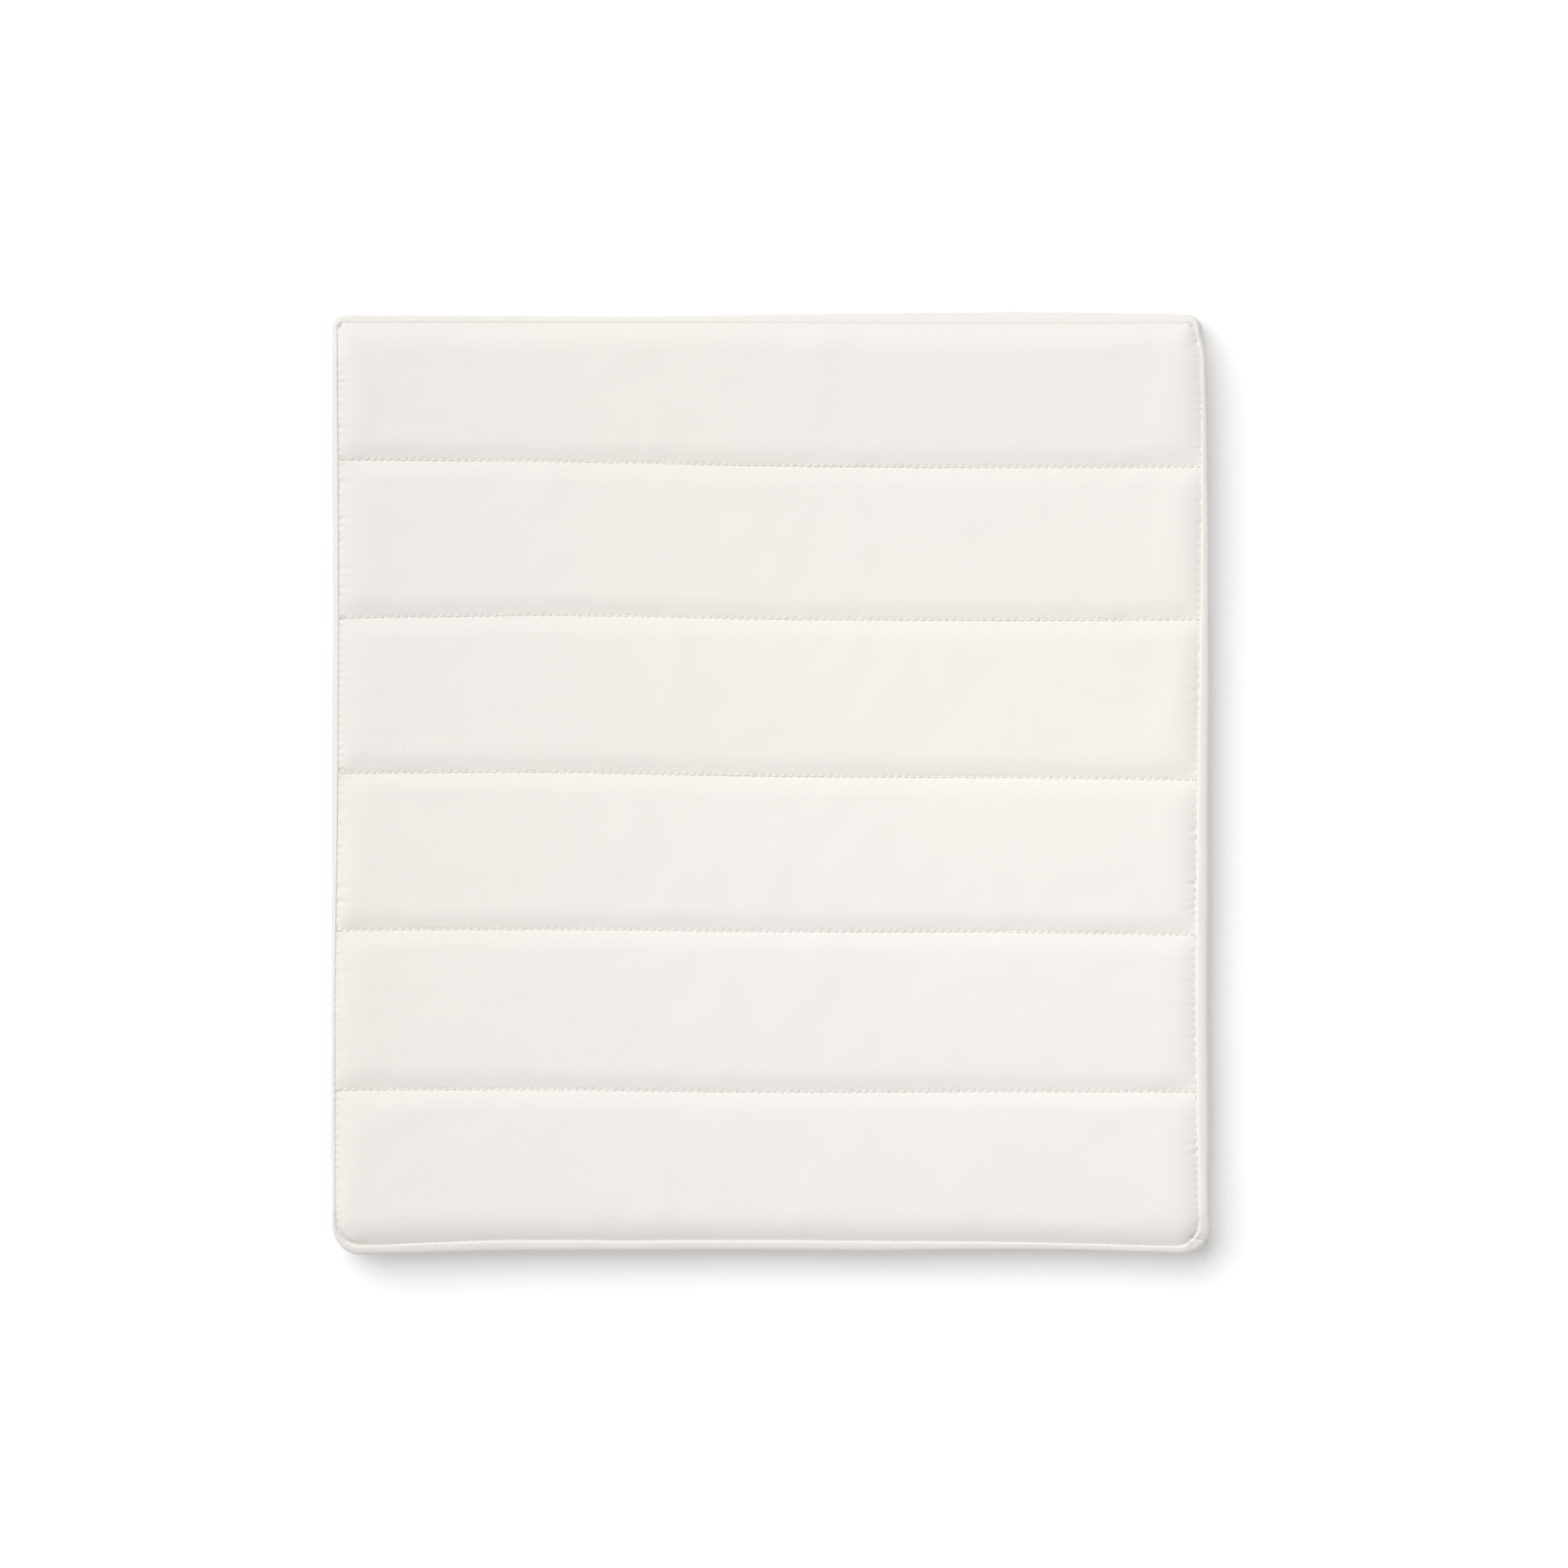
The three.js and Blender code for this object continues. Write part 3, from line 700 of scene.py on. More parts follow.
def read_push(push, u, v):
    """The push at any places on the face, smooth inside each channel."""
    longer = np.pad(push, ((0, 0), (1, 1), (1, 1), (0, 0)), mode="reflect", reflect_type="odd")
    channel = channel_of(v)
    down, across = (v - channel) * SIM_STEPS, u * SIM_COLUMNS
    i, j = np.clip(down.astype(int), 0, SIM_STEPS - 1), np.clip(across.astype(int), 0, SIM_COLUMNS - 1)
    total = np.zeros((len(u), 3))
    for a, down_weight in enumerate(spline_weights(down - i)):
        for b, across_weight in enumerate(spline_weights(across - j)):
            total += (down_weight * across_weight)[:, None] * longer[channel, i + a, j + b]
    return total


# ---- The quilted face's mesh ----

FINE_STEPS = (0, 0.35, 0.8, 1.4, 2.2, 3.2)  # millimetres from a seam, where columns are close
ROW_STEP = 0.95
EDGE_STEPS = (0, 0.35, 0.8, 1.3, 2.0, 2.9, 4.2, 5.8)
STITCH_SHARES = (0, 0.12, 0.36, 0.64, 0.88)


def face_rows():
    """The rows of the face's mesh, back to front: each one's v, and whether its columns are close."""
    typical = 2 * SEAM_Y / CHANNEL_COUNT
    steps = list(FINE_STEPS) + list(np.arange(FINE_STEPS[-1] + ROW_STEP, typical / 2 - 0.3, ROW_STEP))
    rows = []
    for k in range(CHANNEL_COUNT):
        rows += [(k + d / typical, d <= FINE_STEPS[-1]) for d in steps]
        rows += [(k + 0.5, False)]
        rows += [(k + 1 - d / typical, d <= FINE_STEPS[-1]) for d in steps[:0:-1]]
    return rows + [(float(CHANNEL_COUNT), True)]


def zip_rows(upper, lower, upper_start, lower_start):
    """Faces between two rows with different columns."""
    upper, lower = np.append(upper, FAR), np.append(lower, FAR)
    faces, a, b = [], 0, 0
    while a < len(upper) - 2 or b < len(lower) - 2:
        ahead = upper[a + 1] - lower[b + 1]
        step_a, step_b = int(ahead < 1e-9), int(ahead > -1e-9)
        here, there = upper_start + a, lower_start + b
        faces.append([here, there] + [there + 1] * step_b + [here + 1] * step_a)
        a, b = a + step_a, b + step_b
    return faces


def face_layout():
    """u and v of every point of the face's mesh, its faces, and the loop of points round it."""
    close = (np.arange(STITCHES_ACROSS)[:, None] + STITCH_SHARES).ravel()
    close = np.append(close, STITCHES_ACROSS) / STITCHES_ACROSS
    edge = np.array(EDGE_STEPS) / (2 * SEAM_X)
    middle = np.arange(2, STITCHES_ACROSS - 1) / STITCHES_ACROSS
    wide = np.concatenate([edge, middle, 1 - edge[::-1]])
    rows = face_rows()
    us = [close if is_close else wide for _, is_close in rows]
    starts = np.cumsum([0] + [len(u) for u in us]).tolist()
    faces = []
    for k in range(len(us) - 1):
        faces += zip_rows(us[k], us[k + 1], starts[k], starts[k + 1])
    first, last = list(range(starts[1])), list(range(starts[-2], starts[-1]))
    loop = first + [start - 1 for start in starts[2:-1]] + last[::-1] + starts[-3:0:-1]
    return np.concatenate(us), np.repeat([v for v, _ in rows], [len(u) for u in us]), faces, loop


def make_face(push):
    u, v, faces, loop = face_layout()
    places = face_place(u, v)
    z, to_row, *at_rim = quilt_height(places, u, v)
    drop = sewn_detail(places[:, 0], u, v, to_row, *at_rim)
    settle = easing(at_rim[0], 9)[:, None]
    front = np.column_stack([places, z - drop]) + read_push(push, u, v) * settle
    under = front * [1 - CLOTH / SEAM_X, 1 - CLOTH / SEAM_Y, 1] - [0, 0, CLOTH]
    faces, uv = thick_faces(faces, loop, len(front)), np.tile(front[:, :2], (2, 1))
    piece = make_piece("top_face_cloth", np.concatenate([front, under]), faces, "top_face_fabric", uv=uv)


make_face(stuffing_push())


# ---- Side band ----


def station_bulges():
    """How far the band stands out at each station."""
    (x, y), (out_x, out_y) = top_seam.T, normals.T
    down, across = (SEAM_Y - y) / (2 * SEAM_Y), (x + SEAM_X) / (2 * SEAM_X)
    side = np.where(out_x < 0, through(LEFT_BULGE, down), through(RIGHT_BULGE, down))
    end = np.where(out_y > 0, through(BACK_BULGE, across), through(FRONT_BULGE, across))
    bulge = side * out_x**2 + end * out_y**2
    for right, back, size, reach in CORNER_BULGES:
        bulge += size * bell(np.hypot(x - right * SEAM_X, y - back * SEAM_Y), reach)
    return smoothed(bulge, 8, "wrap")


bulges = station_bulges()
LIP = 0.55  # how far the band's edge rolls up beside the top seam
BACK_LIP = 0.22
lips = LIP + (BACK_LIP - LIP) * np.clip(normals[:, 1], 0, 1) ** 2

# The band's section from its top seam: out as a share of its bulge, then down as a share of its
# bulge, and the share of the lip's height it stands up.
TOP_SECTION = (
    (0.00, 0.00, 0.00), (0.04, 0.00, 0.45), (0.10, 0.00, 0.90), (0.18, 0.00, 1.00),
    (0.29, 0.01, 0.95), (0.42, 0.03, 0.85), (0.56, 0.07, 0.72), (0.70, 0.10, 0.52),
    (0.82, 0.18, 0.28), (0.91, 0.34, 0.08), (0.97, 0.70, 0.00), (1.00, 1.30, 0.00),
)
MIDDLE_SHARES = np.array([0.15, 0.33, 0.5, 0.67, 0.85])  # of the way from the top section to the bottom one
END_DIP = 1.7  # how far the band is drawn in where the zip ends, which leaves room for the pull
BOTTOM_SECTION = (
    (1.00, 1.45), (0.96, 0.95), (0.88, 0.58), (0.74, 0.32), (0.55, 0.14), (0.3, 0.04), (0.0, 0.0),
)


def band_section(bulge, lip_height):
    """Out and down from the top seam, at each level, for arrays of bulges and of lip heights."""
    (out, down, lip), (low_out, low_up) = np.array(TOP_SECTION).T, np.array(BOTTOM_SECTION).T
    b = bulge[:, None]
    above, below = b * down[-1], BAND_HEIGHT - b * low_up[0]
    outs = b * np.concatenate([out, np.ones(len(MIDDLE_SHARES)), low_out])
    middle = above + (below - above) * MIDDLE_SHARES
    downs = np.hstack([b * down - lip_height[:, None] * lip, middle, BAND_HEIGHT - b * low_up])
    return outs, downs


def crumple(along, down):
    """The band's own unevenness: broad lumps, soft dents and gathers beside the seams."""
    near_seam = np.clip(np.minimum(down, BAND_HEIGHT - down), 0, None)
    broad = 0.35 * soft_noise(along, down, 38, 11) + 0.2 * soft_noise(along, down * 0.6, 15, 15)
    gather = 0.14 * soft_noise(along, down * 0.15, 4.0, 13) * bell(near_seam - 2.5, 3.5)
    return (broad + gather) * rising(near_seam, 1.0, 4.0)


def band_surface(index, inward, sunk, from_join):
    """The band over a run of stations, for its front or its back. sunk tucks it in under its neighbour."""
    outs, downs = band_section(bulges[index], lips[index])
    s, sunk, from_join = along_seam[index][:, None], sunk[:, None], from_join[:, None]
    level = np.clip(downs / BAND_HEIGHT, 0, 1)
    body = np.sin(math.pi * np.clip(level * 1.1 - 0.05, 0, 1)) ** 0.4
    lap = 0.6 * bell(from_join, 5) * (from_join >= 0)
    outs = outs + crumple(s, downs) + (lap - 0.5 * corner_folds(from_join, outs)) * body
    outs = outs - zip_end_dip(top_seam[index], SEAM_Z - downs)
    lip_wave = 0.14 * soft_noise(s, 0 * s, 13, 14) + 0.08 * soft_noise(s, 0 * s, 5, 17)
    downs = downs - (lip_wave + 0.35 * lap) * bell(outs - 1.0, 1.0)
    downs = downs + corner_folds(from_join, outs) * (level < 0.2) * np.clip(outs, 0, 1)
    outs = outs - inward * (1 - 0.25 * (level < 0.05)) - sunk
    towards_middle = np.where(level < 0.5, 1.0, -1.0) * (abs(level - 0.5) > 0.25)
    downs = downs + (0.75 * inward + sunk) * towards_middle
    downs = downs + (seam_heights[index] - SEAM_Z)[:, None] * level**2
    points = np.column_stack([top_seam, seam_heights])[index][:, None] - UP * downs[..., None]
    slant = JOIN_SLANT * outs * bell(from_join, 7) * np.clip(1 - 1.6 * level, 0, 1)
    for distance, way in ((level, bottom_seam - top_seam), (outs, normals), (slant, tangents)):
        points[..., :2] += distance[..., None] * way[index][:, None]
    return points


def zip_end_dip(seam, height):
    """The hollow beside each end of the zip, at the zip's height."""
    to_end = np.where(seam[:, 1] > 0, abs(abs(seam[:, 0]) - ZIP_REACH), SEAM_X)
    return END_DIP * bell(to_end, 5.5)[:, None] * np.exp(-(((height - ZIP_Z) / 5.0) ** 4))


def corner_folds(from_join, outs):
    """How deep the band is creased by the folds beside its join, at a distance out from the seam."""
    behind = bell(from_join - 0.9, 0.9) * bell(outs - 2.5, 3)
    before = bell(from_join + 2.0 + 0.5 * outs, 1.1) * bell(outs - 2.0, 3)
    return 0.9 * behind + 1.0 * before


def band_piece(name, index, node, from_join, tucked_start):
    """A strip over a run of stations, its end and maybe its start tucked under the piece it is sewn to."""
    steps = np.arange(len(index)) * step_length
    sunk = 0.9 * (tucked_start * bell(steps, 1.3) + bell(steps[-1] - steps, 1.3))
    front, back = (band_surface(index, inward, sunk, from_join) for inward in (0.0, CLOTH))
    run = np.linalg.norm(np.diff(front, axis=1), axis=2)
    girth = np.pad(np.cumsum(run, 1), ((0, 0), (1, 0)))
    uv = np.dstack(np.broadcast_arrays(steps[:, None], girth))
    thick_piece(name, front, back, uv, node)


JOIN_SLANT = 0.5  # how far the join leans along the band, for each millimetre out
UNDERLAP = 3  # stations by which a tucked end runs on under its neighbour
zip_left = nearest_station(-ZIP_REACH, SEAM_Y)
zip_right = nearest_station(ZIP_REACH, SEAM_Y) + STATIONS
step_length = seam_length / STATIONS
for name, run, tucked_start in (
    ("long", np.arange(zip_left - UNDERLAP, band_join + 1 + UNDERLAP), True),
    ("short", np.arange(band_join, zip_right + 1 + UNDERLAP), False),
):
    from_join = (run - band_join) * step_length - 0.01 * tucked_start
    band_piece(f"side_band_{name}", run % STATIONS, f"boxing_{name}_strip", from_join, tucked_start)


# ---- Bottom panel ----

BOTTOM_LIFT = 0.15  # clear of the floor
BOTTOM_INSETS = (0, 0.5, 1.2, 2.2, 3.6, 5.5, 8, 12, 20, 40, 80, 130, 175, 193)  # of its rings from the seam


def make_bottom():
    """A plain panel that lies flat and turns up to its seam at the edges."""
    base = bottom_seam[::STEPS_PER_STITCH]
    rings = []
    for inset in BOTTOM_INSETS:
        ring = base * [1 - inset / SEAM_X, 1 - inset / SEAM_Y]
        rise = BOTTOM_LIFT + (BOTTOM_SEAM_Z - BOTTOM_LIFT) * math.exp(-((inset / 2.6) ** 1.2))
        ripple = 0.25 * (1 + soft_noise(*ring.T, 14, 21)) * math.exp(-inset / 7) * (inset > 0)
        rings.append(np.column_stack([ring, rise + ripple]))
    outer = np.concatenate(rings)
    points = np.concatenate([outer, outer + [0, 0, CLOTH]])
    front = tube_faces(len(rings), len(base))
    del front[-2]  # the cap at the seam, where the panel is open
    faces = thick_faces(front, np.arange(len(base)), len(outer))
    piece = make_piece("bottom_cloth", points, faces, "bottom_panel", uv=points[:, :2])


make_bottom()


# ---- Stitches ----

STITCH_RINGS = 9
STITCH_SIDES = 8


def stitch_run(starts, ends, upward, radius=0.24, dive=0.5, arch=0.25, gap=0.12):
    """One short bent length of thread for each stitch, diving into the cloth at both ends."""
    t = np.linspace(0, 1, STITCH_RINGS)
    along = ends - starts
    centre = starts[:, None] + along[:, None] * (gap / 2 + (1 - gap) * t)[:, None]
    along = unit(along)
    side = unit(np.cross(upward, along))
    up = np.cross(along, side)
    height = arch * np.sin(math.pi * t) ** 0.6 - dive * abs(2 * t - 1) ** 6
    centre = centre + up[:, None] * height[:, None]
    angle = np.linspace(0, 2 * math.pi, STITCH_SIDES, endpoint=False)
    ply = 1 + 0.13 * np.cos(2 * angle - 4.4 * math.pi * t[:, None])
    ring = radius * ply * (1 - 0.25 * abs(2 * t - 1) ** 8)[:, None]
    offset = (ring * np.cos(angle))[..., None] * side[:, None, None]
    offset = offset + (ring * np.sin(angle))[..., None] * up[:, None, None]
    one = tube_faces(STITCH_RINGS, STITCH_SIDES)
    return gathered([(stitch.reshape(-1, 3), one) for stitch in centre[:, :, None] + offset])


def thread_piece(name, stitches, node):
    make_piece(name, *stitches, node, "thread")


def make_quilting_rows():
    hole_u = np.arange(STITCHES_ACROSS + 1) / STITCHES_ACROSS
    for row in range(1, CHANNEL_COUNT):
        rng = np.random.default_rng(50 + row)
        places = face_place(hole_u, row)
        low = seam_height(places)
        height = low + (ROW_Z - low) * rim_rise(places)
        holes = np.column_stack([places, height + 0.12])
        holes[:, 1] += rng.uniform(-0.14, 0.14, len(holes))
        holes[:, 0] += rng.uniform(-0.2, 0.2, len(holes))
        stitches = stitch_run(holes[:-1], holes[1:], UP)
        thread_piece(f"quilting_row_{row}", stitches, f"channel_stitch_row_{row}")


def make_seam_threads():
    """The thread down in the crease of the top seam, and along the bottom seam."""
    for edge, seam, heights, out, tilt in (
        ("top", top_seam, seam_heights - 0.15, 0.1, 1.0),
        ("bottom", bottom_seam, np.full(STATIONS, BOTTOM_SEAM_Z - 0.1), 1.0, -0.4),
    ):
        holes = np.column_stack([seam, heights])[::STEPS_PER_STITCH]
        ups = np.column_stack([out * normals, np.full(STATIONS, tilt)])[::STEPS_PER_STITCH]
        stitches = stitch_run(holes, np.roll(holes, -1, 0), ups, radius=0.18, dive=0.3, arch=0.1, gap=0.3)
        thread_piece(f"{edge}_edge_thread", stitches, f"{edge}_seam_stitch")


make_quilting_rows()
make_seam_threads()


# ---- Zip ----

ZIP_SIDES = (("upper", 1), ("lower", -1))
ZIP_STEP = 1.75
END_STEP = 0.12  # the last column is narrow, so that the edge's shading stays narrow
# The end of the section over the zip: out as a share of the bulge, down as a share of the way to the slot.
HEM_SECTION = (
    (0.95, 0.36), (1.0, 0.52), (0.97, 0.68), (0.86, 0.83), (0.66, 0.94), (0.42, 1.0), (0.15, 0.985),
    (-0.1, 0.93),
)


def placket_surface(towards, inward):
    """The cloth from a seam, out over the zip and back in at the slot, for the upper or lower side."""
    x = np.linspace(-ZIP_REACH, ZIP_REACH, round(2 * ZIP_REACH / ZIP_STEP) + 1)
    x = np.sort(np.append(x, [END_STEP - ZIP_REACH, ZIP_REACH - END_STEP]))
    bulge = through(BACK_BULGE, (x + SEAM_X) / (2 * SEAM_X))[:, None]
    out, down, lip = np.array(TOP_SECTION[:9]).T
    if towards < 0:
        (out, down), lip = np.array(BOTTOM_SECTION[:1:-1]).T, 0
    down = bulge * down - BACK_LIP * lip
    hem_out, hem_down = np.array(HEM_SECTION).T
    fold = BAND_HEIGHT / 2 - SLOT_HALF
    least = down[:, -1:] + 0.25 * np.arange(1, len(HEM_SECTION) + 1) * (fold * hem_down < 4)
    out = bulge * np.concatenate([out, hem_out])
    down = np.hstack([down, np.maximum(fold * hem_down, least)])
    depth = np.clip(down / fold, 0, 1)
    ripple = crumple(SEAM_X - x[:, None], down if towards > 0 else BAND_HEIGHT - down)
    end = np.minimum(x + ZIP_REACH, ZIP_REACH - x)[:, None]
    out = out + ripple * (1 - depth) + (0.2 * ripple * depth - 0.15 * bell(end, 0.8)) - inward
    seam_z = SEAM_Z if towards > 0 else BOTTOM_SEAM_Z
    middle = (depth - 0.5) * 2
    z = seam_z - towards * (down + 0.7 * inward * -np.sign(middle) * abs(middle) ** 0.5)
    back = np.flatnonzero(normals[:, 1] > 0.9)
    back = back[np.argsort(top_seam[back, 0])]
    seams = read_columns(x, top_seam[back, 0], stations[back])[:, None]
    upper, lower = seams[..., :2], seams[..., 2:]
    place = upper + (lower - upper) * np.clip((SEAM_Z - z) / BAND_HEIGHT, 0, 1)[..., None]
    return np.dstack([place[..., 0], place[..., 1] + out, z])


def make_plackets():
    for side, towards in ZIP_SIDES:
        front, back = placket_surface(towards, 0.0), placket_surface(towards, CLOTH)
        run = np.concatenate([[0], np.cumsum(np.linalg.norm(np.diff(front[0], axis=0), axis=1))])
        uv = np.dstack(np.broadcast_arrays(front[..., 0], run))
        thick_piece(f"zip_placket_{side}", front, back, uv, f"placket_{side}")
        row = front[1:-1:2, -5] + [0, 0.15, -0.1 * towards]
        stitches = stitch_run(row[:-1], row[1:], [0.0, 0.85, -0.5 * towards])
        thread_piece(f"placket_topstitch_{side}", stitches, f"placket_stitch_{side}")


make_plackets()

zip_travel = np.ptp(joint("zip_slide")["range_m"]) / MM
COIL_PITCH = zip_travel / round(zip_travel / 1.27)  # the slider meets the coil alike at both limits
TURN_STEPS = 14
WIRE = 0.25
WIRE_SIDES = 7
HEAD_GAP = 0.2  # from the middle of the zip to the edge of each tape


def make_coils():
    """Each half of the zip is one nylon wire wound into flat loops; the halves alternate."""
    turns = int((2 * COIL_REACH - 1.5) / COIL_PITCH)
    theta = np.linspace(0, 2 * math.pi * turns, turns * TURN_STEPS + 1)
    y_low, y_high = coil_low[1], coil_high[1]
    reach = coil_high[2] - ZIP_Z
    for side, towards, phase in (("upper", 1, 0.0), ("lower", -1, math.pi)):
        wave = np.sign(np.cos(theta)) * abs(np.cos(theta)) ** 0.7
        height = (reach - 0.15) / 2 + ((reach + 0.15) / 2 - WIRE) * wave
        y = (y_low + y_high) / 2 + ((y_high - y_low) / 2 - WIRE) * np.sin(theta)
        x = -COIL_REACH + 0.5 + COIL_PITCH * (theta + phase) / (2 * math.pi)
        path = np.stack([x, y, ZIP_Z + towards * height], -1)
        ahead = unit(np.gradient(path, axis=0))
        across = unit(np.cross(ahead, [1.0, 0.0, 0.0]))
        upward = np.cross(across, ahead)
        angle = np.linspace(0, 2 * math.pi, WIRE_SIDES, endpoint=False)[:, None]
        ring = np.cos(angle) * across[:, None] + np.sin(angle) * upward[:, None]
        points = (path[:, None] + WIRE * ring).reshape(-1, 3)
        faces = tube_faces(len(path), WIRE_SIDES)
        make_piece(f"nylon_coil_{side}", points, faces, f"zip_coil_{side}", "zip_coil")


def make_tapes():
    """Woven tapes behind the coils, with a raised cord along the sewn edge."""
    for side, towards in ZIP_SIDES:
        low, high = box_mm(f"zip_tape_{side}")
        x = np.linspace(-high[0], high[0], 160)
        height = np.array([HEAD_GAP, 0.5, 1.2, 2.2, 2.5, 2.8, 3.1, 4.0, 6.0, 8.0, 8.8, 9.0])
        y = high[1] + 0.12 * bell(height - 2.65, 0.25) + 0.05 * soft_noise(x[:, None], height * 2, 9, 41)
        front = np.dstack(np.broadcast_arrays(x[:, None], y, ZIP_Z + towards * height))
        back = front - [0, high[1] - low[1], 0]
        uv = front[..., [0, 2]]
        thick_piece(f"zip_tape_cloth_{side}", front, back, uv, f"zip_tape_{side}", "zip_tape")


def make_tacks():
    """A close row of stitches across the coils at each end of the zip."""
    for end in ("left", "right"):
        low, high = box_mm(f"zip_end_tack_{end}")
        x = (low[0] + high[0]) / 2 + np.linspace(-1.1, 1.1, 6)
        starts, ends = (
            np.column_stack(np.broadcast_arrays(x + lean, high[1] - 0.1, z))
            for lean, z in ((0, low[2]), (0.25, high[2]))
        )
        stitches = stitch_run(starts, ends, [0.0, 1.0, 0.0], dive=0.8, arch=0.1, gap=0)
        thread_piece(f"end_tack_threads_{end}", stitches, f"zip_end_tack_{end}")


make_coils()
make_tapes()
make_tacks()


# ---- Slider and pull ----

SLIDER_PLACE = np.array([SLIDER_X, SEAM_Y, ZIP_Z])


def rounded_plate(outlines, thickness, edge):
    """A flat plate with rounded edges, in its own plane; outlines after the first are holes."""
    data = bpy.data.curves.new("plate", "CURVE")
    put(data, dimensions="2D", fill_mode="BOTH", extrude=(thickness / 2 - edge) * MM)
    put(data, bevel_depth=edge * MM, bevel_resolution=3, offset=-edge * MM)
    for outline in outlines:
        spline = data.splines.new("POLY")
        spline.points.add(len(outline) - 1)
        for point, (a, b) in zip(spline.points, outline):
            point.co = (a * MM, b * MM, 0, 1)
        spline.use_cyclic_u = True
    holder = add_object("plate", data)
    graph = bpy.context.evaluated_depsgraph_get()
    mesh = bpy.data.meshes.new_from_object(holder.evaluated_get(graph))
    joined = bmesh.new()
    joined.from_mesh(mesh)
    bmesh.ops.remove_doubles(joined, verts=joined.verts, dist=1e-6)
    points = np.array([v.co[:] for v in joined.verts]) / MM
    faces = [[v.index for v in face.verts] for face in joined.faces]
    joined.free()
    bpy.data.objects.remove(holder)
    bpy.data.curves.remove(data)
    bpy.data.meshes.remove(mesh)
    return points, faces


def standing(part, out):
    """Turns a plate to face out of the pad's back, its middle at a distance out from the seam."""
    points, faces = part
    return SLIDER_PLACE + np.stack([points[:, 0], out + points[:, 2], points[:, 1]], -1), faces


def arc(x, y, radius, start, end, steps=10):
    turns = np.radians(np.linspace(start, end, steps))
    return [(x + radius * math.cos(a), y + radius * math.sin(a)) for a in turns]


def wing_outline():
    """A slider's wing: a square tail, and a broad round nose."""
    nose, tail, half, corner = 3.3, 2.7, 5.0, 0.6
    outline = arc(-half + corner, -tail + corner, corner, 180, 270, 5)
    outline += arc(half - nose, 0, nose, -82, 82, 20)
    return outline + arc(-half + corner, tail - corner, corner, 90, 180, 5)


def bridge_part():
    """The arch that holds the pull: a bent strap with rounded edges."""
    width, strap, rounding = 1.8, 0.75, 0.25
    turn = np.radians(np.linspace(0, 180, 25))
    path = np.stack([2.35 * np.cos(turn) * (1 + 0.12 * np.sin(turn)), 2.35 + 1.85 * np.sin(turn)], -1)
    path = np.concatenate([[[2.35, 1.85]], path, [[-2.35, 1.85]]])
    ahead = unit(np.gradient(path, axis=0))
    section = []
    half_width, half_strap = width / 2 - rounding, strap / 2 - rounding
    for a, b, start in ((1, 1, 0), (-1, 1, 90), (-1, -1, 180), (1, -1, 270)):
        section += arc(a * half_width, b * half_strap, rounding, start, start + 90, 4)
    wide, deep = np.array(section).T
    rings = [np.stack([p[0] + deep * d[1], p[1] - deep * d[0], wide], -1) for p, d in zip(path, ahead)]
    return np.concatenate(rings) + SLIDER_PLACE, tube_faces(len(rings), len(section))


def flange_part(side):
    """The rim of the top wing, turned in past the coil on one side."""
    outline = [(-4.4, 2.1), (2.0, 2.55), (3.2, 2.5), (3.2, 3.05), (2.0, 3.28), (-4.4, 2.68)]
    outline = [(a, side * b) for a, b in outline][::side]
    return standing(rounded_plate([outline], 2.0, 0.12), 1.1)


def make_slider():
    post = [(2.6, -0.13), (4.2, -0.13), (4.2, 0.13), (2.6, 0.13)]
    plates = ((wing_outline(), 0.8, 0.34, 2.1), (wing_outline(), 0.8, 0.2, -1.3), (post, 3.4, 0.05, 0.4))
    parts = [standing(rounded_plate([outline], *sizes), out) for outline, *sizes, out in plates]
    parts += [bridge_part(), flange_part(1), flange_part(-1)]
    make_piece("slider_body", *gathered(parts), "zip_slider", "zip_metal", "slider")


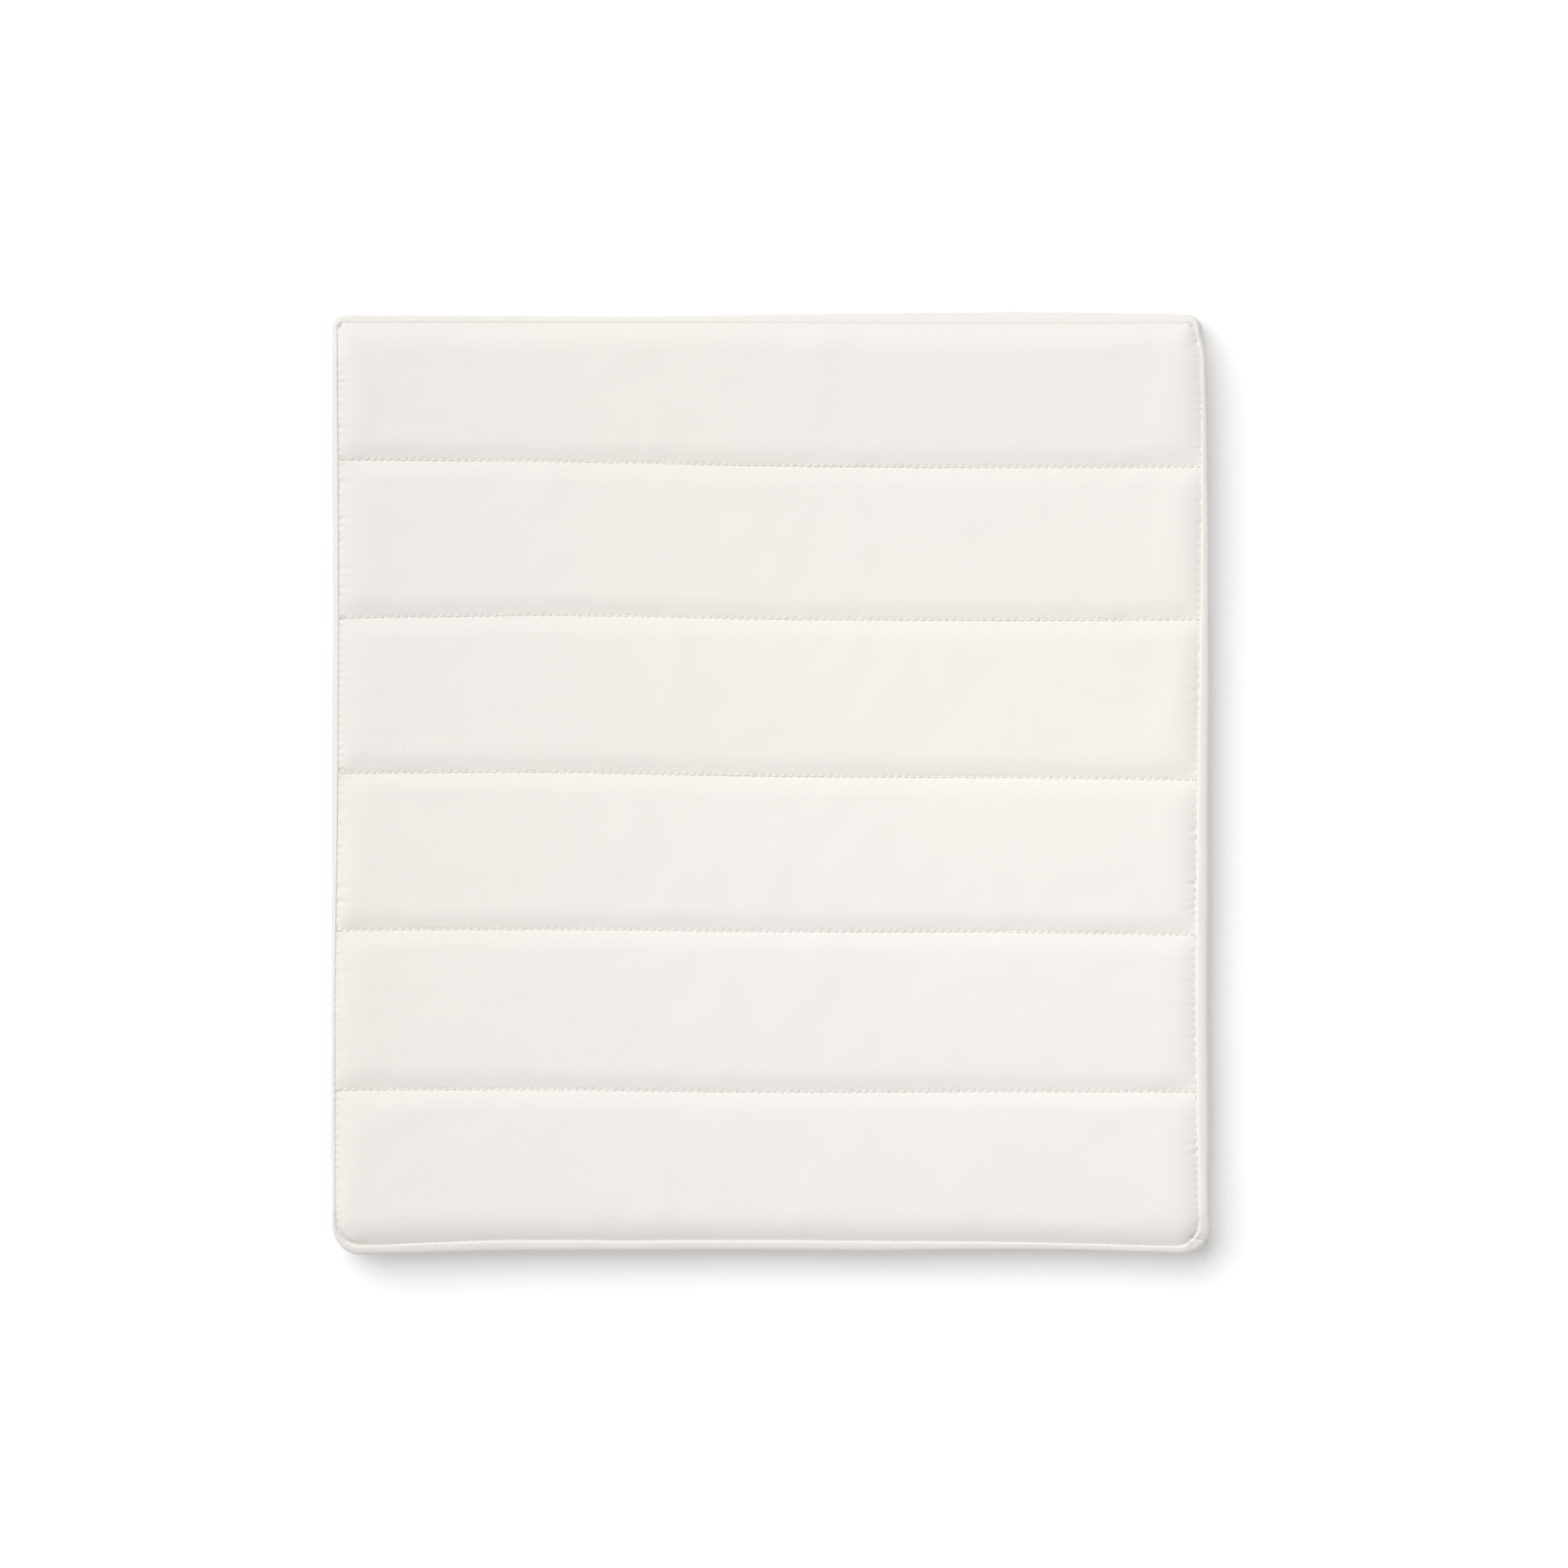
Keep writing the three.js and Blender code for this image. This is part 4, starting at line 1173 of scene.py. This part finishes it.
def make_pull():
    """A flat tab with a window for the bridge, a round bar across it, and an eye at its free end."""
    half, waist, length, end, bar_radius = 2.7, 2.0, 22.0, 0.42, 0.5
    side = [(end, half - 0.4), (end - 0.3, half - 0.1), (-5.0, half), (-8.0, half * 0.79), (-12.0, waist)]
    outline = side + arc(-length + half, 0, half, 90, 270, 24) + [(a, -b) for a, b in side[::-1]]
    window = arc(-2.9, 0.6, 0.7, 90, 180, 5) + arc(-2.9, -0.6, 0.7, 180, 270, 5)
    window += [(-0.4, -1.3), (-0.4, 1.3)]
    eye = arc(-length + half, 0, 1.15, 0, 345, 20)
    out = joint("pull_tab_swing")["pos_m"][1] / MM - SEAM_Y  # from the seam line to the hinge
    circle = arc(0, out, bar_radius, 0, 330, 12)
    bar = [(*point, z) for z in (-1.6, 1.6) for point in circle]
    plate = standing(rounded_plate([outline, window, eye], 0.9, 0.28), out)
    parts = [plate, (np.array(bar) + SLIDER_PLACE, tube_faces(2, len(circle)))]
    make_piece("pull_tab_plate", *gathered(parts), "pull_tab", "zip_metal", "pull_tab")


make_slider()
make_pull()


# ---- Inside the cover ----

FILLING_INSET = 2.4  # how far the filling stays inside the seams
WADDING_GAP = 0.6  # between the wadding and the cloth over it


def make_wadding():
    """The layer that fills the quilting, between the face cloth and its backing."""
    low, _ = box_mm("quilt_wadding")
    cloth = quilt_grid(100, 24)
    height = np.maximum(cloth[..., 2] - CLOTH - WADDING_GAP, low[2] + 0.3)
    top = np.dstack([cloth[..., :2] * (1 - FILLING_INSET / SEAM_X), height])
    bottom = top * [1, 1, 0] + [0, 0, low[2]]
    thick_piece("wadding_batt", top, bottom, top[..., :2], "quilt_wadding", "wadding")


def block(name, node, slot, levels):
    """A stack of shrunken seam outlines from the node's bottom to its top; levels are (share, inset)."""
    low, high = box_mm(node)
    base = bottom_seam[:: 2 * STEPS_PER_STITCH]
    rings = []
    for share, inset in levels:
        ring = base * (1 - (FILLING_INSET + inset) / np.array([SEAM_X, SEAM_Y]))
        rings.append(np.column_stack([ring, np.full(len(base), low[2] + (high[2] - low[2]) * share)]))
    points = np.concatenate(rings)
    return make_piece(name, points, tube_faces(len(rings), len(base)), node, slot, uv=points[:, :2])


make_wadding()
foam_edge = ((0, 1.5), (0.02, 0.7), (0.06, 0.2), (0.15, 0))
foam_edges = (*foam_edge, (0.5, -0.4), *((1 - share, inset) for share, inset in foam_edge[::-1]))
block("foam_block", "foam_core", "foam", foam_edges)
block("backing_sheet", "quilt_backing", "backing_cloth", ((0, 0), (1, 0)))
